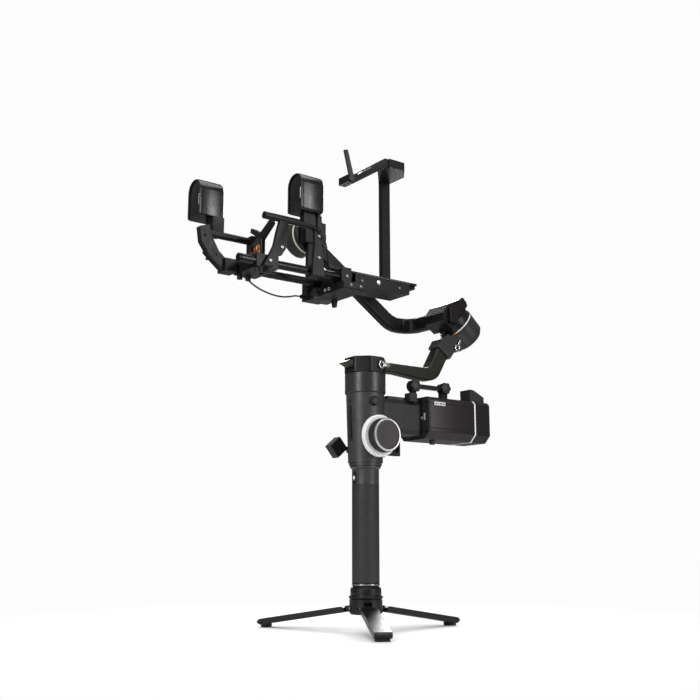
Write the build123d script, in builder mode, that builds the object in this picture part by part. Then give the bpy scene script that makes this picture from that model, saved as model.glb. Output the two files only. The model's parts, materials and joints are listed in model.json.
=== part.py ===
"""Three-axis camera gimbal stabilizer on a folding table tripod, in millimetres.

Frame: +Z up, z = 0 is the floor under the tripod feet, the column stands on the Z axis.
The lens side points to -X, the focus wheel side to -Y, the power box to +X.
"""
from build123d import *
import os
from math import atan2, cos, hypot, pi, radians, sin, tan

# ---- fits ----
GAP = 0.3            # space between pieces that move past each other
RUN = 0.05           # radial running clearance of a shaft in its hole

# ---- tripod ----
HUB_R = 29.5
HUB_LOW = 28.0
HUB_HIGH = 54.0
THREAD_R = 4.76      # 3/8 inch tripod thread
LEG_ANGLES = (-120, 0, 120)
PIVOT_R = 24.0
PIVOT_Z = 38.7
LEG_TIP_R = 212.0
LEG_TIP_Z = 9.0
LEG_W = 30.0
LEG_T = 11.0
TONGUE_W = 14.0
LEG_PIN_R = 2.5
PAD_W = 24.0

# ---- column ----
FLANGE_R = 30.5
COLLAR_R = 27.7
COLLAR_LOW = HUB_HIGH
FLANGE_HIGH = 61.0
COLLAR_HIGH = 83.0
GRIP_TOP = 256.0
TUBE_R = 22.5
TUBE_WALL = 3.0
SLEEVE_R = 24.75
BOLT_R = 4.7
NECK_TOP = 300.0
LATCH_R = 5.0
LATCH_Z = 268.0

# ---- control body ----
BODY_TOP = 423.0
BODY_R_LOW = 32.0
BODY_R_TOP = 35.75
BODY_WALL = 3.0
BODY_FLOOR = 4.0
TRIGGER_W = 8.0
TRIGGER_LOW = 334.0
TRIGGER_HIGH = 400.0
TRIGGER_PIN = (-33.0, 397.0)
TRIGGER_PIN_R = 1.2
START_R = 7.0
START_X = -5.8
START_Z = 406.0

# ---- focus wheel, turning about -Y ----
WHEEL_Z = 342.0
WHEEL_Y = -37.0
RING_R = 38.0
RING_T = 10.0
KNOB_R = 31.0
KNOB_T = 18.0
CAP_T = 2.5
WHEEL_SHAFT_R = 3.0

# ---- pan motor and head ----
PAN_R = 38.0
PAN_TOP = 460.0
PAN_WALL = 3.5
SHAFT_R = 5.0
HEAD_APOTHEM = 37.0
HEAD_H = 29.0
ARM_Z = 477.2
ARM_H = 18.4
ARM_W = 24.0
ARM_TAIL_X = -54.0
TAIL_L = 20.0        # length of the arm's pointed tail
LEAN_DEG = 60.0      # slope of the rising end of the pan arm
LEAN_T = 30.0
LEAN_X = 147.0
LEAN_L = 66.0

# ---- roll motor ----
ROLL_C = (228.0, 0.0, 588.0)
ROLL_DEG = 37.0      # how far the roll axis drops towards the rear
ROLL_R = 37.8
ROLL_LEN = 47.0
ROTOR_T = 15.0
WEDGE_W = 15.0       # width of the clamp wedge on the roll rotor

# ---- roll arm and tilt motor ----
RARM_X = 189.6
RARM_Z = 591.9
RARM_Y = 95.0
RARM_H = 30.0
RARM_D = 20.0
RARM_TAIL_Y = -42.0
TILT_X = -74.0
TILT_Z = 737.0
TILT_R = 38.0
TILT_FACE_Y = 84.0
TILT_LEN = 32.0

# ---- tilt arm, plates and rods ----
TARM_W = 28.0
TARM_T = 10.0
TARM_Y = 62.0
TARM_TOP = 800.0
BAR_Z = 602.0
BAR_H = 14.0
BAR_X0 = -88.0
BAR_X1 = -38.0
BAR_END_Y = -55.0
BAR_KNOB_Y = 29.0
BAR_KNOB_R = 9.0
ROD_R = 7.5
ROD_SPACING = 60.0
ROD_Z = 628.0
ROD_X1 = -62.0
PLATE_Z = 634.0
PLATE_T = 11.0


def leg_slope():
    """Downward slope of a deployed leg, in radians."""
    return atan2(PIVOT_Z - LEG_TIP_Z, LEG_TIP_R - PIVOT_R)


def leg_plane(angle):
    """Plane at a leg's pivot: x along the leg, y across its thickness, z along the pin."""
    a, s = radians(angle), leg_slope()
    return Plane(origin=(PIVOT_R * cos(a), PIVOT_R * sin(a), PIVOT_Z),
                 x_dir=(cos(a) * cos(s), sin(a) * cos(s), -sin(s)), z_dir=(sin(a), -cos(a), 0))


def radial_plane(angle):
    """Upright plane through the column axis: x outwards, y up."""
    a = radians(angle)
    return Plane(origin=(0, 0, 0), x_dir=(cos(a), sin(a), 0), z_dir=(sin(a), -cos(a), 0))


def body_radius(z):
    """Outer radius of the control body at height z."""
    return BODY_R_LOW + (BODY_R_TOP - BODY_R_LOW) * (z - NECK_TOP) / (BODY_TOP - NECK_TOP)


# Roll axis frame: x along row Y, y across the axis and upwards, z along the axis to the rear.
roll_dir = (cos(radians(ROLL_DEG)), 0, -sin(radians(ROLL_DEG)))
roll_up = (sin(radians(ROLL_DEG)), 0, cos(radians(ROLL_DEG)))


def roll_plane(along=0.0):
    """Plane across the roll axis, a distance along it from the ring."""
    origin = tuple(c + along * d for c, d in zip(ROLL_C, roll_dir))
    return Plane(origin=origin, x_dir=(0, 1, 0), z_dir=roll_dir)


def roll_side():
    """Upright plane through the roll axis: x along the axis to the rear, y upwards."""
    return Plane(origin=ROLL_C, x_dir=roll_dir, z_dir=(0, -1, 0))


def y_plane(y):
    """Upright plane facing -Y at the given y: x along row X, y along row Z."""
    return Plane.XZ.offset(-y)


# =================================================== tripod
with BuildPart() as tripod_hub:
    with BuildSketch(Plane.XY.offset(HUB_LOW)):
        Circle(HUB_R)
    extrude(amount=HUB_HIGH - HUB_LOW)
    chamfer(tripod_hub.edges().group_by(Axis.Z)[0], 2.5)
    with BuildSketch(Plane.XY.offset(HUB_LOW)):
        with PolarLocations(HUB_R, 3, start_angle=LEG_ANGLES[1]):
            Rectangle(31, TONGUE_W + 2 * GAP)
    extrude(amount=22, mode=Mode.SUBTRACT)
    for angle in LEG_ANGLES:
        with BuildSketch(leg_plane(angle)):
            Circle(LEG_PIN_R)
        extrude(amount=17, both=True, mode=Mode.SUBTRACT)
    with BuildSketch(Plane.XY.offset(HUB_LOW)):
        Circle(THREAD_R)
    extrude(amount=10, mode=Mode.SUBTRACT)
    with BuildSketch(Plane.XY.offset(HUB_HIGH)):
        Circle(BOLT_R)
    extrude(amount=-8, mode=Mode.SUBTRACT)

with BuildPart() as leg_pins:
    for angle in LEG_ANGLES:
        with BuildSketch(leg_plane(angle)):
            Circle(LEG_PIN_R)
        extrude(amount=15, both=True)

legs = []
foot_pads = []
for angle in LEG_ANGLES:
    leg_l = hypot(PIVOT_Z - LEG_TIP_Z, LEG_TIP_R - PIVOT_R)
    half = LEG_T / 2
    with BuildPart() as leg:
        with BuildSketch(leg_plane(angle)):
            with BuildLine():
                Polyline((13, -half), (leg_l - 6, -half), (leg_l, -1), (leg_l, 2), (leg_l - 5, half),
                         (18, half), (13, 2), close=True)
            make_face()
        extrude(amount=LEG_W / 2, both=True)
        with BuildSketch(leg_plane(angle)):
            Circle(6.2)
            with Locations((7, 0)):
                Rectangle(14, LEG_T)
        extrude(amount=TONGUE_W / 2, both=True)
        with BuildSketch(leg_plane(angle)):
            Circle(LEG_PIN_R + RUN)
        extrude(amount=TONGUE_W, both=True, mode=Mode.SUBTRACT)
    legs.append(leg)

    slope = tan(leg_slope())
    pad_in, pad_out = LEG_TIP_R - 18, LEG_TIP_R - 7
    under = PIVOT_Z - half / cos(leg_slope())
    with BuildPart() as foot_pad:
        with BuildSketch(radial_plane(angle)):
            with BuildLine():
                Polyline((pad_in, 0), (pad_out, 0), (pad_out, under - (pad_out - PIVOT_R) * slope),
                         (pad_in, under - (pad_in - PIVOT_R) * slope), close=True)
            make_face()
        extrude(amount=PAD_W / 2, both=True)
    foot_pads.append(foot_pad)

# =================================================== column
with BuildPart() as lower_collar:
    with BuildSketch(Plane.XY.offset(COLLAR_LOW)):
        Circle(FLANGE_R)
        with PolarLocations(FLANGE_R, 36):
            Circle(0.9, mode=Mode.SUBTRACT)
    extrude(amount=FLANGE_HIGH - COLLAR_LOW)
    with BuildSketch(Plane.XY.offset(FLANGE_HIGH)):
        Circle(COLLAR_R)
    extrude(amount=14)
    chamfer(lower_collar.edges().group_by(Axis.Z)[-1], 1)
    with BuildSketch(Plane.XY.offset(FLANGE_HIGH + 14)):
        Circle(SLEEVE_R)
    extrude(amount=COLLAR_HIGH - FLANGE_HIGH - 14)
    with BuildSketch(Plane.XY.offset(COLLAR_LOW)):
        Circle(BOLT_R)
    extrude(amount=COLLAR_HIGH - COLLAR_LOW, mode=Mode.SUBTRACT)

with BuildPart() as grip_tube:
    with BuildSketch(Plane.XY.offset(COLLAR_HIGH)):
        Circle(TUBE_R)
        Circle(BOLT_R, mode=Mode.SUBTRACT)
    extrude(amount=GRIP_TOP - COLLAR_HIGH)
    with BuildSketch(Plane.XY.offset(COLLAR_HIGH + 8)):
        Circle(TUBE_R - TUBE_WALL)
    extrude(amount=GRIP_TOP - COLLAR_HIGH - 16, mode=Mode.SUBTRACT)

with BuildPart() as grip_sleeve:
    with BuildSketch(Plane.XY.offset(COLLAR_HIGH)):
        Circle(SLEEVE_R)
        Circle(TUBE_R, mode=Mode.SUBTRACT)
    extrude(amount=GRIP_TOP - COLLAR_HIGH)

with BuildPart() as column_bolt:
    with BuildSketch(Plane.XY.offset(HUB_HIGH - 8)):
        Circle(BOLT_R)
    extrude(amount=NECK_TOP - 4 - HUB_HIGH + 8)

latch_plane = Plane(origin=(0, 0, LATCH_Z), x_dir=(0, -1, 0), z_dir=(-1, 0, 0))
LATCH_OUT = SLEEVE_R + 1.5
with BuildPart() as neck_collar:
    with BuildSketch(Plane.XZ):
        with BuildLine():
            Polyline((0, GRIP_TOP), (SLEEVE_R, GRIP_TOP), (SLEEVE_R, 284), (28, 286.5), (28, 289), (27, 289),
                     (27, 290.2), (30, 290.2), (30, 294.4), (29, 294.4), (29, 295.6), (BODY_R_LOW, 295.6),
                     (BODY_R_LOW, NECK_TOP), (20, NECK_TOP), (20, NECK_TOP + 6), (0, NECK_TOP + 6), close=True)
        make_face()
    revolve(axis=Axis.Z)
    with BuildSketch(Plane.XY.offset(GRIP_TOP)):
        Circle(BOLT_R)
    extrude(amount=NECK_TOP - 4 - GRIP_TOP, mode=Mode.SUBTRACT)
    with BuildSketch(latch_plane):
        Circle(LATCH_R + GAP)
    extrude(amount=SLEEVE_R + 5, mode=Mode.SUBTRACT)
    with BuildSketch(Plane.XY.offset(GRIP_TOP)):
        Circle(14)
        Circle(BOLT_R, mode=Mode.SUBTRACT)
    extrude(amount=30)

with BuildPart() as release_latch:
    with BuildSketch(latch_plane.offset(17)):
        Circle(LATCH_R)
    extrude(amount=LATCH_OUT - 17)
    chamfer(release_latch.edges().sort_by(Axis.X)[0], 0.8)


# =================================================== control body
def body_shell(near):
    """Half of the hollow tapered body, split on the Y = 0 plane, with its openings."""
    with BuildPart() as shell:
        with BuildSketch(Plane.XZ):
            with BuildLine():
                Polyline((20, NECK_TOP), (BODY_R_LOW, NECK_TOP), (BODY_R_TOP, BODY_TOP),
                         (BODY_R_TOP - BODY_WALL, BODY_TOP), (BODY_R_LOW - BODY_WALL, NECK_TOP + BODY_FLOOR),
                         (20, NECK_TOP + BODY_FLOOR), close=True)
            make_face()
        revolve(axis=Axis.Z)
        if near:
            with BuildSketch(y_plane(WHEEL_Y + GAP)):
                with Locations((0, WHEEL_Z)):
                    Circle(20)
            extrude(amount=-12)
            with BuildSketch(y_plane(WHEEL_Y)):
                with Locations((0, WHEEL_Z)):
                    Circle(WHEEL_SHAFT_R + RUN)
            extrude(amount=-16, mode=Mode.SUBTRACT)
            with BuildSketch(y_plane(-20)):
                with Locations((START_X, START_Z)):
                    Circle(START_R + GAP)
            extrude(amount=20, mode=Mode.SUBTRACT)
        with BuildSketch(Plane.YZ.offset(-20)):
            with Locations((0, (TRIGGER_LOW + TRIGGER_HIGH) / 2)):
                Rectangle(TRIGGER_W + 2 * GAP, TRIGGER_HIGH - TRIGGER_LOW + 4 * GAP)
        extrude(amount=-20, mode=Mode.SUBTRACT)
        with BuildSketch(Plane.XZ):
            with Locations(TRIGGER_PIN):
                Circle(TRIGGER_PIN_R + RUN)
        extrude(amount=TRIGGER_W / 2 + 2, both=True, mode=Mode.SUBTRACT)
        split(bisect_by=Plane.XZ, keep=Keep.TOP if near else Keep.BOTTOM)
    return shell


body_shell_near = body_shell(True)
body_shell_far = body_shell(False)

with BuildPart() as control_board:
    with BuildSketch(y_plane(6)):
        with Locations((0, (NECK_TOP + BODY_TOP) / 2)):
            Rectangle(44, 96)
    extrude(amount=1.6)
    with BuildSketch(y_plane(6)):
        with Locations((-11, 350), (9, 372), (-8, 392)):
            Rectangle(12, 12)
    extrude(amount=-2)
    with BuildSketch(y_plane(6 - 1.6)):
        with Locations((-14, NECK_TOP + 16), (14, NECK_TOP + 16)):
            Circle(2.5)
    extrude(amount=4)
    with BuildSketch(Plane.XY.offset(NECK_TOP + 6)):
        with Locations((0, 5.2)):
            Rectangle(30, 1.6)
    extrude(amount=10)

with BuildPart() as trigger:
    trigger_mid = (TRIGGER_LOW + TRIGGER_HIGH) / 2
    with BuildSketch(Plane.XZ):
        with BuildLine():
            Polyline((-body_radius(TRIGGER_HIGH) + 4, TRIGGER_HIGH), (-body_radius(TRIGGER_HIGH), TRIGGER_HIGH),
                     (-body_radius(trigger_mid) - 2.2, trigger_mid + 8),
                     (-body_radius(trigger_mid) - 1.2, trigger_mid - 8),
                     (-body_radius(TRIGGER_LOW) - 2.6, TRIGGER_LOW + 6),
                     (-body_radius(TRIGGER_LOW), TRIGGER_LOW), (-body_radius(TRIGGER_LOW) + 4, TRIGGER_LOW),
                     close=True)
        make_face()
    extrude(amount=TRIGGER_W / 2, both=True)
    with BuildSketch(Plane.XZ):
        with Locations(TRIGGER_PIN):
            Circle(TRIGGER_PIN_R)
    extrude(amount=TRIGGER_W / 2 + 1.7, both=True)

with BuildPart() as start_button:
    with BuildSketch(y_plane(-30)):
        with Locations((START_X, START_Z)):
            Circle(START_R)
    extrude(amount=9.5)
    chamfer(start_button.edges().sort_by(Axis.Y)[0], 1)

# =================================================== focus wheel
ring_face = WHEEL_Y - RING_T
knob_face = ring_face - KNOB_T
with BuildPart() as wheel_ring:
    with BuildSketch(y_plane(WHEEL_Y)):
        with Locations((0, WHEEL_Z)):
            Circle(RING_R)
            Circle(WHEEL_SHAFT_R, mode=Mode.SUBTRACT)
    extrude(amount=RING_T)
    chamfer(wheel_ring.edges().filter_by(GeomType.CIRCLE).sort_by(SortBy.LENGTH)[-2:], 1)

with BuildPart() as focus_knob:
    with BuildSketch(y_plane(ring_face)):
        with Locations((0, WHEEL_Z)):
            Circle(KNOB_R)
            Circle(WHEEL_SHAFT_R, mode=Mode.SUBTRACT)
            with PolarLocations(KNOB_R, 48):
                Circle(0.8, mode=Mode.SUBTRACT)
    extrude(amount=KNOB_T)

with BuildPart() as knob_cap:
    with BuildSketch(y_plane(knob_face)):
        with Locations((0, WHEEL_Z)):
            Circle(KNOB_R - 2)
    extrude(amount=CAP_T)
    chamfer(knob_cap.edges().sort_by(Axis.Y)[0], 0.8)
    with BuildSketch(y_plane(knob_face)):
        with Locations((0, WHEEL_Z)):
            Circle(WHEEL_SHAFT_R)
    extrude(amount=-(KNOB_T + RING_T + 14))

# =================================================== pan motor
with BuildPart() as pan_housing:
    with BuildSketch(Plane.XY.offset(BODY_TOP)):
        Circle(PAN_R)
    extrude(amount=PAN_TOP - BODY_TOP)
    chamfer(pan_housing.edges(), 1)
    with BuildSketch(Plane.XY.offset(BODY_TOP + 5)):
        Circle(PAN_R - PAN_WALL)
        Circle(14, mode=Mode.SUBTRACT)
    extrude(amount=PAN_TOP - BODY_TOP, mode=Mode.SUBTRACT)
    with BuildSketch(Plane.XY.offset(PAN_TOP - 8)):
        Circle(16)
    extrude(amount=20, mode=Mode.SUBTRACT)
    with BuildSketch(Plane.XY.offset(BODY_TOP + 2)):
        Circle(SHAFT_R + RUN)
    extrude(amount=40, mode=Mode.SUBTRACT)

with BuildPart() as pan_stator:
    with BuildSketch(Plane.XY.offset(BODY_TOP + 7)):
        Circle(27)
        Circle(14, mode=Mode.SUBTRACT)
        with PolarLocations(24, 12):
            Rectangle(7, 4, mode=Mode.SUBTRACT)
    extrude(amount=18)

with BuildPart() as pan_rotor:
    with BuildSketch(Plane.XY.offset(PAN_TOP - 7.5)):
        Circle(34)
    extrude(amount=7)
    with BuildSketch(Plane.XY.offset(BODY_TOP + 8)):
        Circle(34)
        Circle(30, mode=Mode.SUBTRACT)
    extrude(amount=PAN_TOP - BODY_TOP - 15)
    with BuildSketch(Plane.XY.offset(BODY_TOP + 2.5)):
        Circle(SHAFT_R)
    extrude(amount=PAN_TOP - BODY_TOP - 5)
    with BuildSketch(Plane.XY.offset(PAN_TOP - 0.5)):
        Circle(20)
    extrude(amount=0.9)

# =================================================== pan head and pan arm
head_low = PAN_TOP + 0.4
lean = radians(LEAN_DEG)
lean_along = (cos(lean), sin(lean))
lean_out = (sin(lean) * LEAN_T, -cos(lean) * LEAN_T)
arm_high = ARM_Z + ARM_H / 2
arm_low = ARM_Z - ARM_H / 2
belly_z = arm_low - 5.5
inner_end = (LEAN_X + LEAN_L * lean_along[0], arm_high + LEAN_L * lean_along[1])
outer_start = (LEAN_X + lean_out[0], arm_high + lean_out[1])
outer_end = (outer_start[0] + LEAN_L * lean_along[0], outer_start[1] + LEAN_L * lean_along[1])
outer_turn = (outer_start[0] + (belly_z - outer_start[1]) / tan(lean), belly_z)

with BuildPart() as pan_arm:
    with BuildSketch(Plane.XZ):
        with BuildLine():
            tail = FilletPolyline((ARM_TAIL_X, ARM_Z), (ARM_TAIL_X + TAIL_L, arm_high), (LEAN_X, arm_high),
                                  inner_end, radius=12)
            Line(inner_end, outer_end)
            belly = FilletPolyline(outer_end, outer_turn, (128, belly_z), (70, arm_low),
                                   (ARM_TAIL_X + TAIL_L, arm_low), radius=(34, 20, 20))
            Line(belly @ 1, (ARM_TAIL_X, ARM_Z))
        make_face()
    extrude(amount=ARM_W / 2, both=True)
    chamfer(pan_arm.edges().filter_by(Axis.Y, reverse=True).group_by(Axis.Y)[0], 1.5)
    chamfer(pan_arm.edges().filter_by(Axis.Y, reverse=True).group_by(Axis.Y)[-1], 1.5)

lever_x = 8.0
LEVER_Z = ARM_Z - 3
with BuildPart() as pan_head:
    with BuildSketch(Plane.XY.offset(head_low)) as head_outline:
        RegularPolygon(radius=HEAD_APOTHEM, side_count=8, major_radius=False, rotation=22.5)
        fillet(head_outline.vertices(), 10)
    extrude(amount=HEAD_H)
    chamfer(pan_head.edges().group_by(Axis.Z)[-1], 1.5)
    with BuildSketch(Plane.YZ.offset(-50)):
        with Locations((0, ARM_Z)):
            Rectangle(ARM_W + 2 * GAP, ARM_H + 2 * GAP)
    extrude(amount=100, mode=Mode.SUBTRACT)
    with BuildSketch(y_plane(-HEAD_APOTHEM - 1)):
        with Locations((lever_x, LEVER_Z)):
            Circle(3 + RUN)
    extrude(amount=-30, mode=Mode.SUBTRACT)


def clamp_lever(plane, screw, reach, turn):
    """Clamp lever: a screw into the housing, a round eye on it and a flat handle."""
    with BuildPart() as lever:
        with BuildSketch(plane.offset(-screw)):
            Circle(3)
        extrude(amount=screw + 2)
        with BuildSketch(plane.offset(GAP)):
            Circle(6.5)
        extrude(amount=5)
        with BuildSketch(plane.offset(1.5)):
            with Locations((reach / 2 * cos(radians(turn)), reach / 2 * sin(radians(turn)))):
                Rectangle(reach, 4.5, rotation=turn)
        extrude(amount=2.5)
    return lever


pan_lever = clamp_lever(Plane(origin=(lever_x, -HEAD_APOTHEM, LEVER_Z), x_dir=(1, 0, 0), z_dir=(0, -1, 0)),
                HEAD_APOTHEM - ARM_W / 2 - 2 * GAP, 20, 0)

# =================================================== roll motor
ROLL_AXIS = Axis(origin=ROLL_C, direction=roll_dir)
CHEEK = ARM_W / 2 + 4
with BuildPart() as roll_housing:
    with BuildSketch(roll_side()):
        with BuildLine():
            Polyline((0, 0), (0, ROLL_R), (ROLL_LEN - 7, ROLL_R - 2.5), (ROLL_LEN, ROLL_R - 8), (ROLL_LEN, 0),
                     close=True)
        make_face()
    revolve(axis=ROLL_AXIS)
    with BuildSketch(roll_side()):
        with BuildLine():
            Polyline((-12.5, -80), (-14, -60), (-9, -42), (0.5, -39), (0.5, -25), (40, -25), (37, -46),
                     (25, -62), (24.5, -80), close=True)
        make_face()
    extrude(amount=CHEEK, both=True)
    with BuildSketch(roll_plane(-1)):
        Circle(ROLL_R - 4.5)
        Circle(12, mode=Mode.SUBTRACT)
    extrude(amount=ROLL_LEN - 4, mode=Mode.SUBTRACT)
    with BuildSketch(roll_plane(-1)):
        Circle(13)
    extrude(amount=10, mode=Mode.SUBTRACT)
    with BuildSketch(roll_plane(0)):
        Circle(SHAFT_R + RUN)
    extrude(amount=ROLL_LEN - 4, mode=Mode.SUBTRACT)
    add(pan_arm.part, mode=Mode.SUBTRACT)
    with BuildSketch(roll_side().offset(ARM_W / 2 - 4)):
        with Locations((24, -50)):
            Circle(3 + RUN)
    extrude(amount=12, mode=Mode.SUBTRACT)

lever_spot = roll_side().offset(CHEEK).from_local_coords((24, -50, 0))
roll_lever = clamp_lever(Plane(origin=lever_spot, x_dir=(1, 0, 0), z_dir=(0, -1, 0)), 7, 15, 60)

with BuildPart() as roll_rotor:
    with BuildSketch(roll_plane(-GAP)):
        Circle(ROLL_R - 1.8)
    extrude(amount=-ROTOR_T)
    with BuildSketch(roll_plane(-GAP)):
        Circle(SHAFT_R)
    extrude(amount=ROLL_LEN - 6)
    with BuildSketch(roll_plane(-GAP)):
        Circle(ROLL_R - 6)
        Circle(ROLL_R - 10, mode=Mode.SUBTRACT)
    extrude(amount=ROLL_LEN - 12)
    with BuildSketch(roll_side().offset(-22)):
        with BuildLine():
            Polyline((-ROTOR_T, -40), (-ROTOR_T, 28), (-24, 33), (-35, 27), (-54, -6), (-54, -30), (-44, -42),
                     close=True)
        make_face()
    extrude(amount=56)
    with BuildSketch(roll_side().offset(22)):
        with BuildLine():
            Polyline((-ROTOR_T, 25), (-ROTOR_T, 32), (-22, 44), (-29, 42), (-38, 20), close=True)
        make_face()
    extrude(amount=-WEDGE_W)
    with BuildSketch(y_plane(24)):
        with Locations((RARM_X, RARM_Z)):
            Rectangle(RARM_D + 2 * GAP, RARM_H + 2 * GAP)
    extrude(amount=60, mode=Mode.SUBTRACT)

# =================================================== tilt motor and roll arm
with BuildPart() as tilt_housing:
    with BuildSketch(y_plane(TILT_FACE_Y + TILT_LEN)):
        with Locations((TILT_X, TILT_Z)):
            Circle(TILT_R)
    extrude(amount=TILT_LEN)
    chamfer(tilt_housing.edges().sort_by(Axis.Y)[-1], 3)
    with BuildSketch(y_plane(TILT_FACE_Y)):
        with Locations((TILT_X, TILT_Z)):
            Circle(TILT_R - 4)
            Circle(12, mode=Mode.SUBTRACT)
    extrude(amount=-(TILT_LEN - 6), mode=Mode.SUBTRACT)
    with BuildSketch(y_plane(TILT_FACE_Y)):
        with Locations((TILT_X, TILT_Z)):
            Circle(13)
    extrude(amount=-6, mode=Mode.SUBTRACT)
    with BuildSketch(y_plane(TILT_FACE_Y)):
        with Locations((TILT_X, TILT_Z)):
            Circle(SHAFT_R + RUN)
    extrude(amount=-(TILT_LEN - 4), mode=Mode.SUBTRACT)

with BuildPart() as roll_arm:
    with BuildLine():
        FilletPolyline((RARM_X, RARM_TAIL_Y, RARM_Z), (RARM_X, RARM_Y, RARM_Z), (138, RARM_Y, RARM_Z),
                       (TILT_X + 24, RARM_Y, TILT_Z - 15), radius=(30, 55))
    with BuildSketch(y_plane(RARM_TAIL_Y)) as roll_arm_section:
        with Locations((RARM_X, RARM_Z)):
            Rectangle(RARM_D, RARM_H)
        chamfer(roll_arm_section.vertices(), 4)
    sweep()
    with BuildSketch(y_plane(RARM_Y + RARM_D)):
        with Locations((TILT_X, TILT_Z)):
            Circle(TILT_R)
    extrude(amount=2 * RARM_D, mode=Mode.SUBTRACT)

with BuildPart() as tilt_rotor:
    with BuildSketch(y_plane(TILT_FACE_Y - GAP)):
        with Locations((TILT_X, TILT_Z)):
            Circle(TILT_R - 2)
    extrude(amount=9.7)
    with BuildSketch(y_plane(TILT_FACE_Y - GAP)):
        with Locations((TILT_X, TILT_Z)):
            Circle(TILT_R - 6)
            Circle(TILT_R - 10, mode=Mode.SUBTRACT)
    extrude(amount=-(TILT_LEN - 10))
    with BuildSketch(y_plane(TILT_FACE_Y - GAP)):
        with Locations((TILT_X, TILT_Z)):
            Circle(SHAFT_R)
    extrude(amount=-(TILT_LEN - 6))
    with BuildSketch(y_plane(TARM_Y + TARM_T + 2)):
        with Locations((TILT_X, TILT_Z)):
            Rectangle(TARM_W + 18, 44)
    extrude(amount=TARM_T + 7)
    with BuildSketch(Plane.XY.offset(TILT_Z - 50)):
        with Locations((TILT_X, TARM_Y + TARM_T / 2)):
            Rectangle(TARM_W + 2 * GAP, TARM_T + 2 * GAP)
    extrude(amount=100, mode=Mode.SUBTRACT)

# =================================================== tilt arm and plates
bar_top = BAR_Z + BAR_H
with BuildPart() as tilt_arm:
    with BuildSketch(Plane.XY.offset(BAR_Z)):
        with Locations((TILT_X, TARM_Y + TARM_T / 2)):
            Rectangle(TARM_W, TARM_T)
    extrude(amount=TARM_TOP - BAR_Z)
    with BuildSketch(Plane.XY.offset(BAR_Z)):
        with Locations(((BAR_X0 + BAR_X1) / 2, (BAR_END_Y + TARM_Y + TARM_T) / 2)):
            Rectangle(BAR_X1 - BAR_X0, TARM_Y + TARM_T - BAR_END_Y)
    extrude(amount=BAR_H)
    with BuildSketch(Plane.XY.offset(BAR_Z)):
        with Locations(((BAR_X0 - 2 + BAR_X1 - 14) / 2, TARM_Y + 9)):
            Rectangle(BAR_X1 - 14 - BAR_X0 + 2, 18)
    extrude(amount=44)
    chamfer(tilt_arm.edges().group_by(Axis.Y)[0], 2)
    with BuildSketch(Plane.YZ.offset(BAR_X0 - 2)):
        with Locations((72, BAR_Z + 8)):
            Circle(4)
    extrude(amount=-8)
    with BuildSketch(Plane.YZ.offset(BAR_X0)):
        with Locations((BAR_KNOB_Y, BAR_Z + BAR_H / 2)):
            Circle(BAR_KNOB_R)
    extrude(amount=-9, taper=6)
    with BuildSketch(Plane.XY.offset(BAR_Z)):
        with Locations((BAR_X1 - 5, 39)):
            Rectangle(8, 10)
    extrude(amount=-12, taper=5)

slot_w = 7.0
with BuildPart() as base_clamp:
    with BuildSketch(Plane.XY.offset(bar_top)):
        with Locations((-64, 0)):
            Rectangle(48, 40)
    extrude(amount=PLATE_Z - bar_top)
    with BuildSketch(Plane.XY.offset(bar_top + 4)):
        with Locations((20, 0)):
            Rectangle(130, 60)
    extrude(amount=PLATE_Z - bar_top - 4)
    with BuildSketch(Plane.XY.offset(PLATE_Z)):
        with Locations((20, 27.2), (20, -27.2)):
            Rectangle(130, 5.6)
    extrude(amount=6)
    with BuildSketch(Plane.XY.offset(bar_top)):
        with Locations((-26, 26)):
            Circle(3 + RUN)
    extrude(amount=30, mode=Mode.SUBTRACT)

plate_lever = clamp_lever(Plane(origin=(-26, 26, bar_top + 4), x_dir=(1, 0, 0), z_dir=(0, 0, -1)), 12, 22, -75)

with BuildPart() as top_plate:
    with BuildSketch(Plane.XY.offset(PLATE_Z + GAP)):
        with Locations(((ROD_X1 + 104) / 2, 0)):
            Rectangle(104 - ROD_X1, 48)
    extrude(amount=PLATE_T - GAP)
    with BuildSketch(Plane.XY.offset(PLATE_Z + 6 + GAP)):
        with Locations(((ROD_X1 + 104) / 2, 0)):
            Rectangle(104 - ROD_X1, 60)
    extrude(amount=PLATE_T - 6 - GAP)
    chamfer(top_plate.edges().group_by(Axis.Z)[-1], 1)
    with BuildSketch(Plane.XY.offset(PLATE_Z)):
        with Locations((20, 0)):
            SlotOverall(100, slot_w)
    extrude(amount=20, mode=Mode.SUBTRACT)

with BuildPart() as rod_clamp:
    with BuildSketch(Plane.YZ.offset(ROD_X1 - 22)):
        with BuildLine():
            Polyline((-41, 618), (-20.4, 618), (-20.4, PLATE_Z + GAP), (20.4, PLATE_Z + GAP), (20.4, 618),
                     (41, 618), (41, PLATE_Z + PLATE_T), (-41, PLATE_Z + PLATE_T), close=True)
        make_face()
        with Locations((-ROD_SPACING / 2, ROD_Z), (ROD_SPACING / 2, ROD_Z)):
            Circle(ROD_R, mode=Mode.SUBTRACT)
    extrude(amount=22)

with BuildPart() as rods:
    with BuildSketch(Plane.YZ.offset(ROD_X1)):
        with Locations((-ROD_SPACING / 2, ROD_Z)):
            Circle(ROD_R)
            Circle(ROD_R - 2, mode=Mode.SUBTRACT)
    extrude(amount=-(ROD_X1 + 294))
    with BuildSketch(Plane.YZ.offset(ROD_X1)):
        with Locations((ROD_SPACING / 2, ROD_Z)):
            Circle(ROD_R)
            Circle(ROD_R - 2, mode=Mode.SUBTRACT)
    extrude(amount=-(ROD_X1 + 281))

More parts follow.
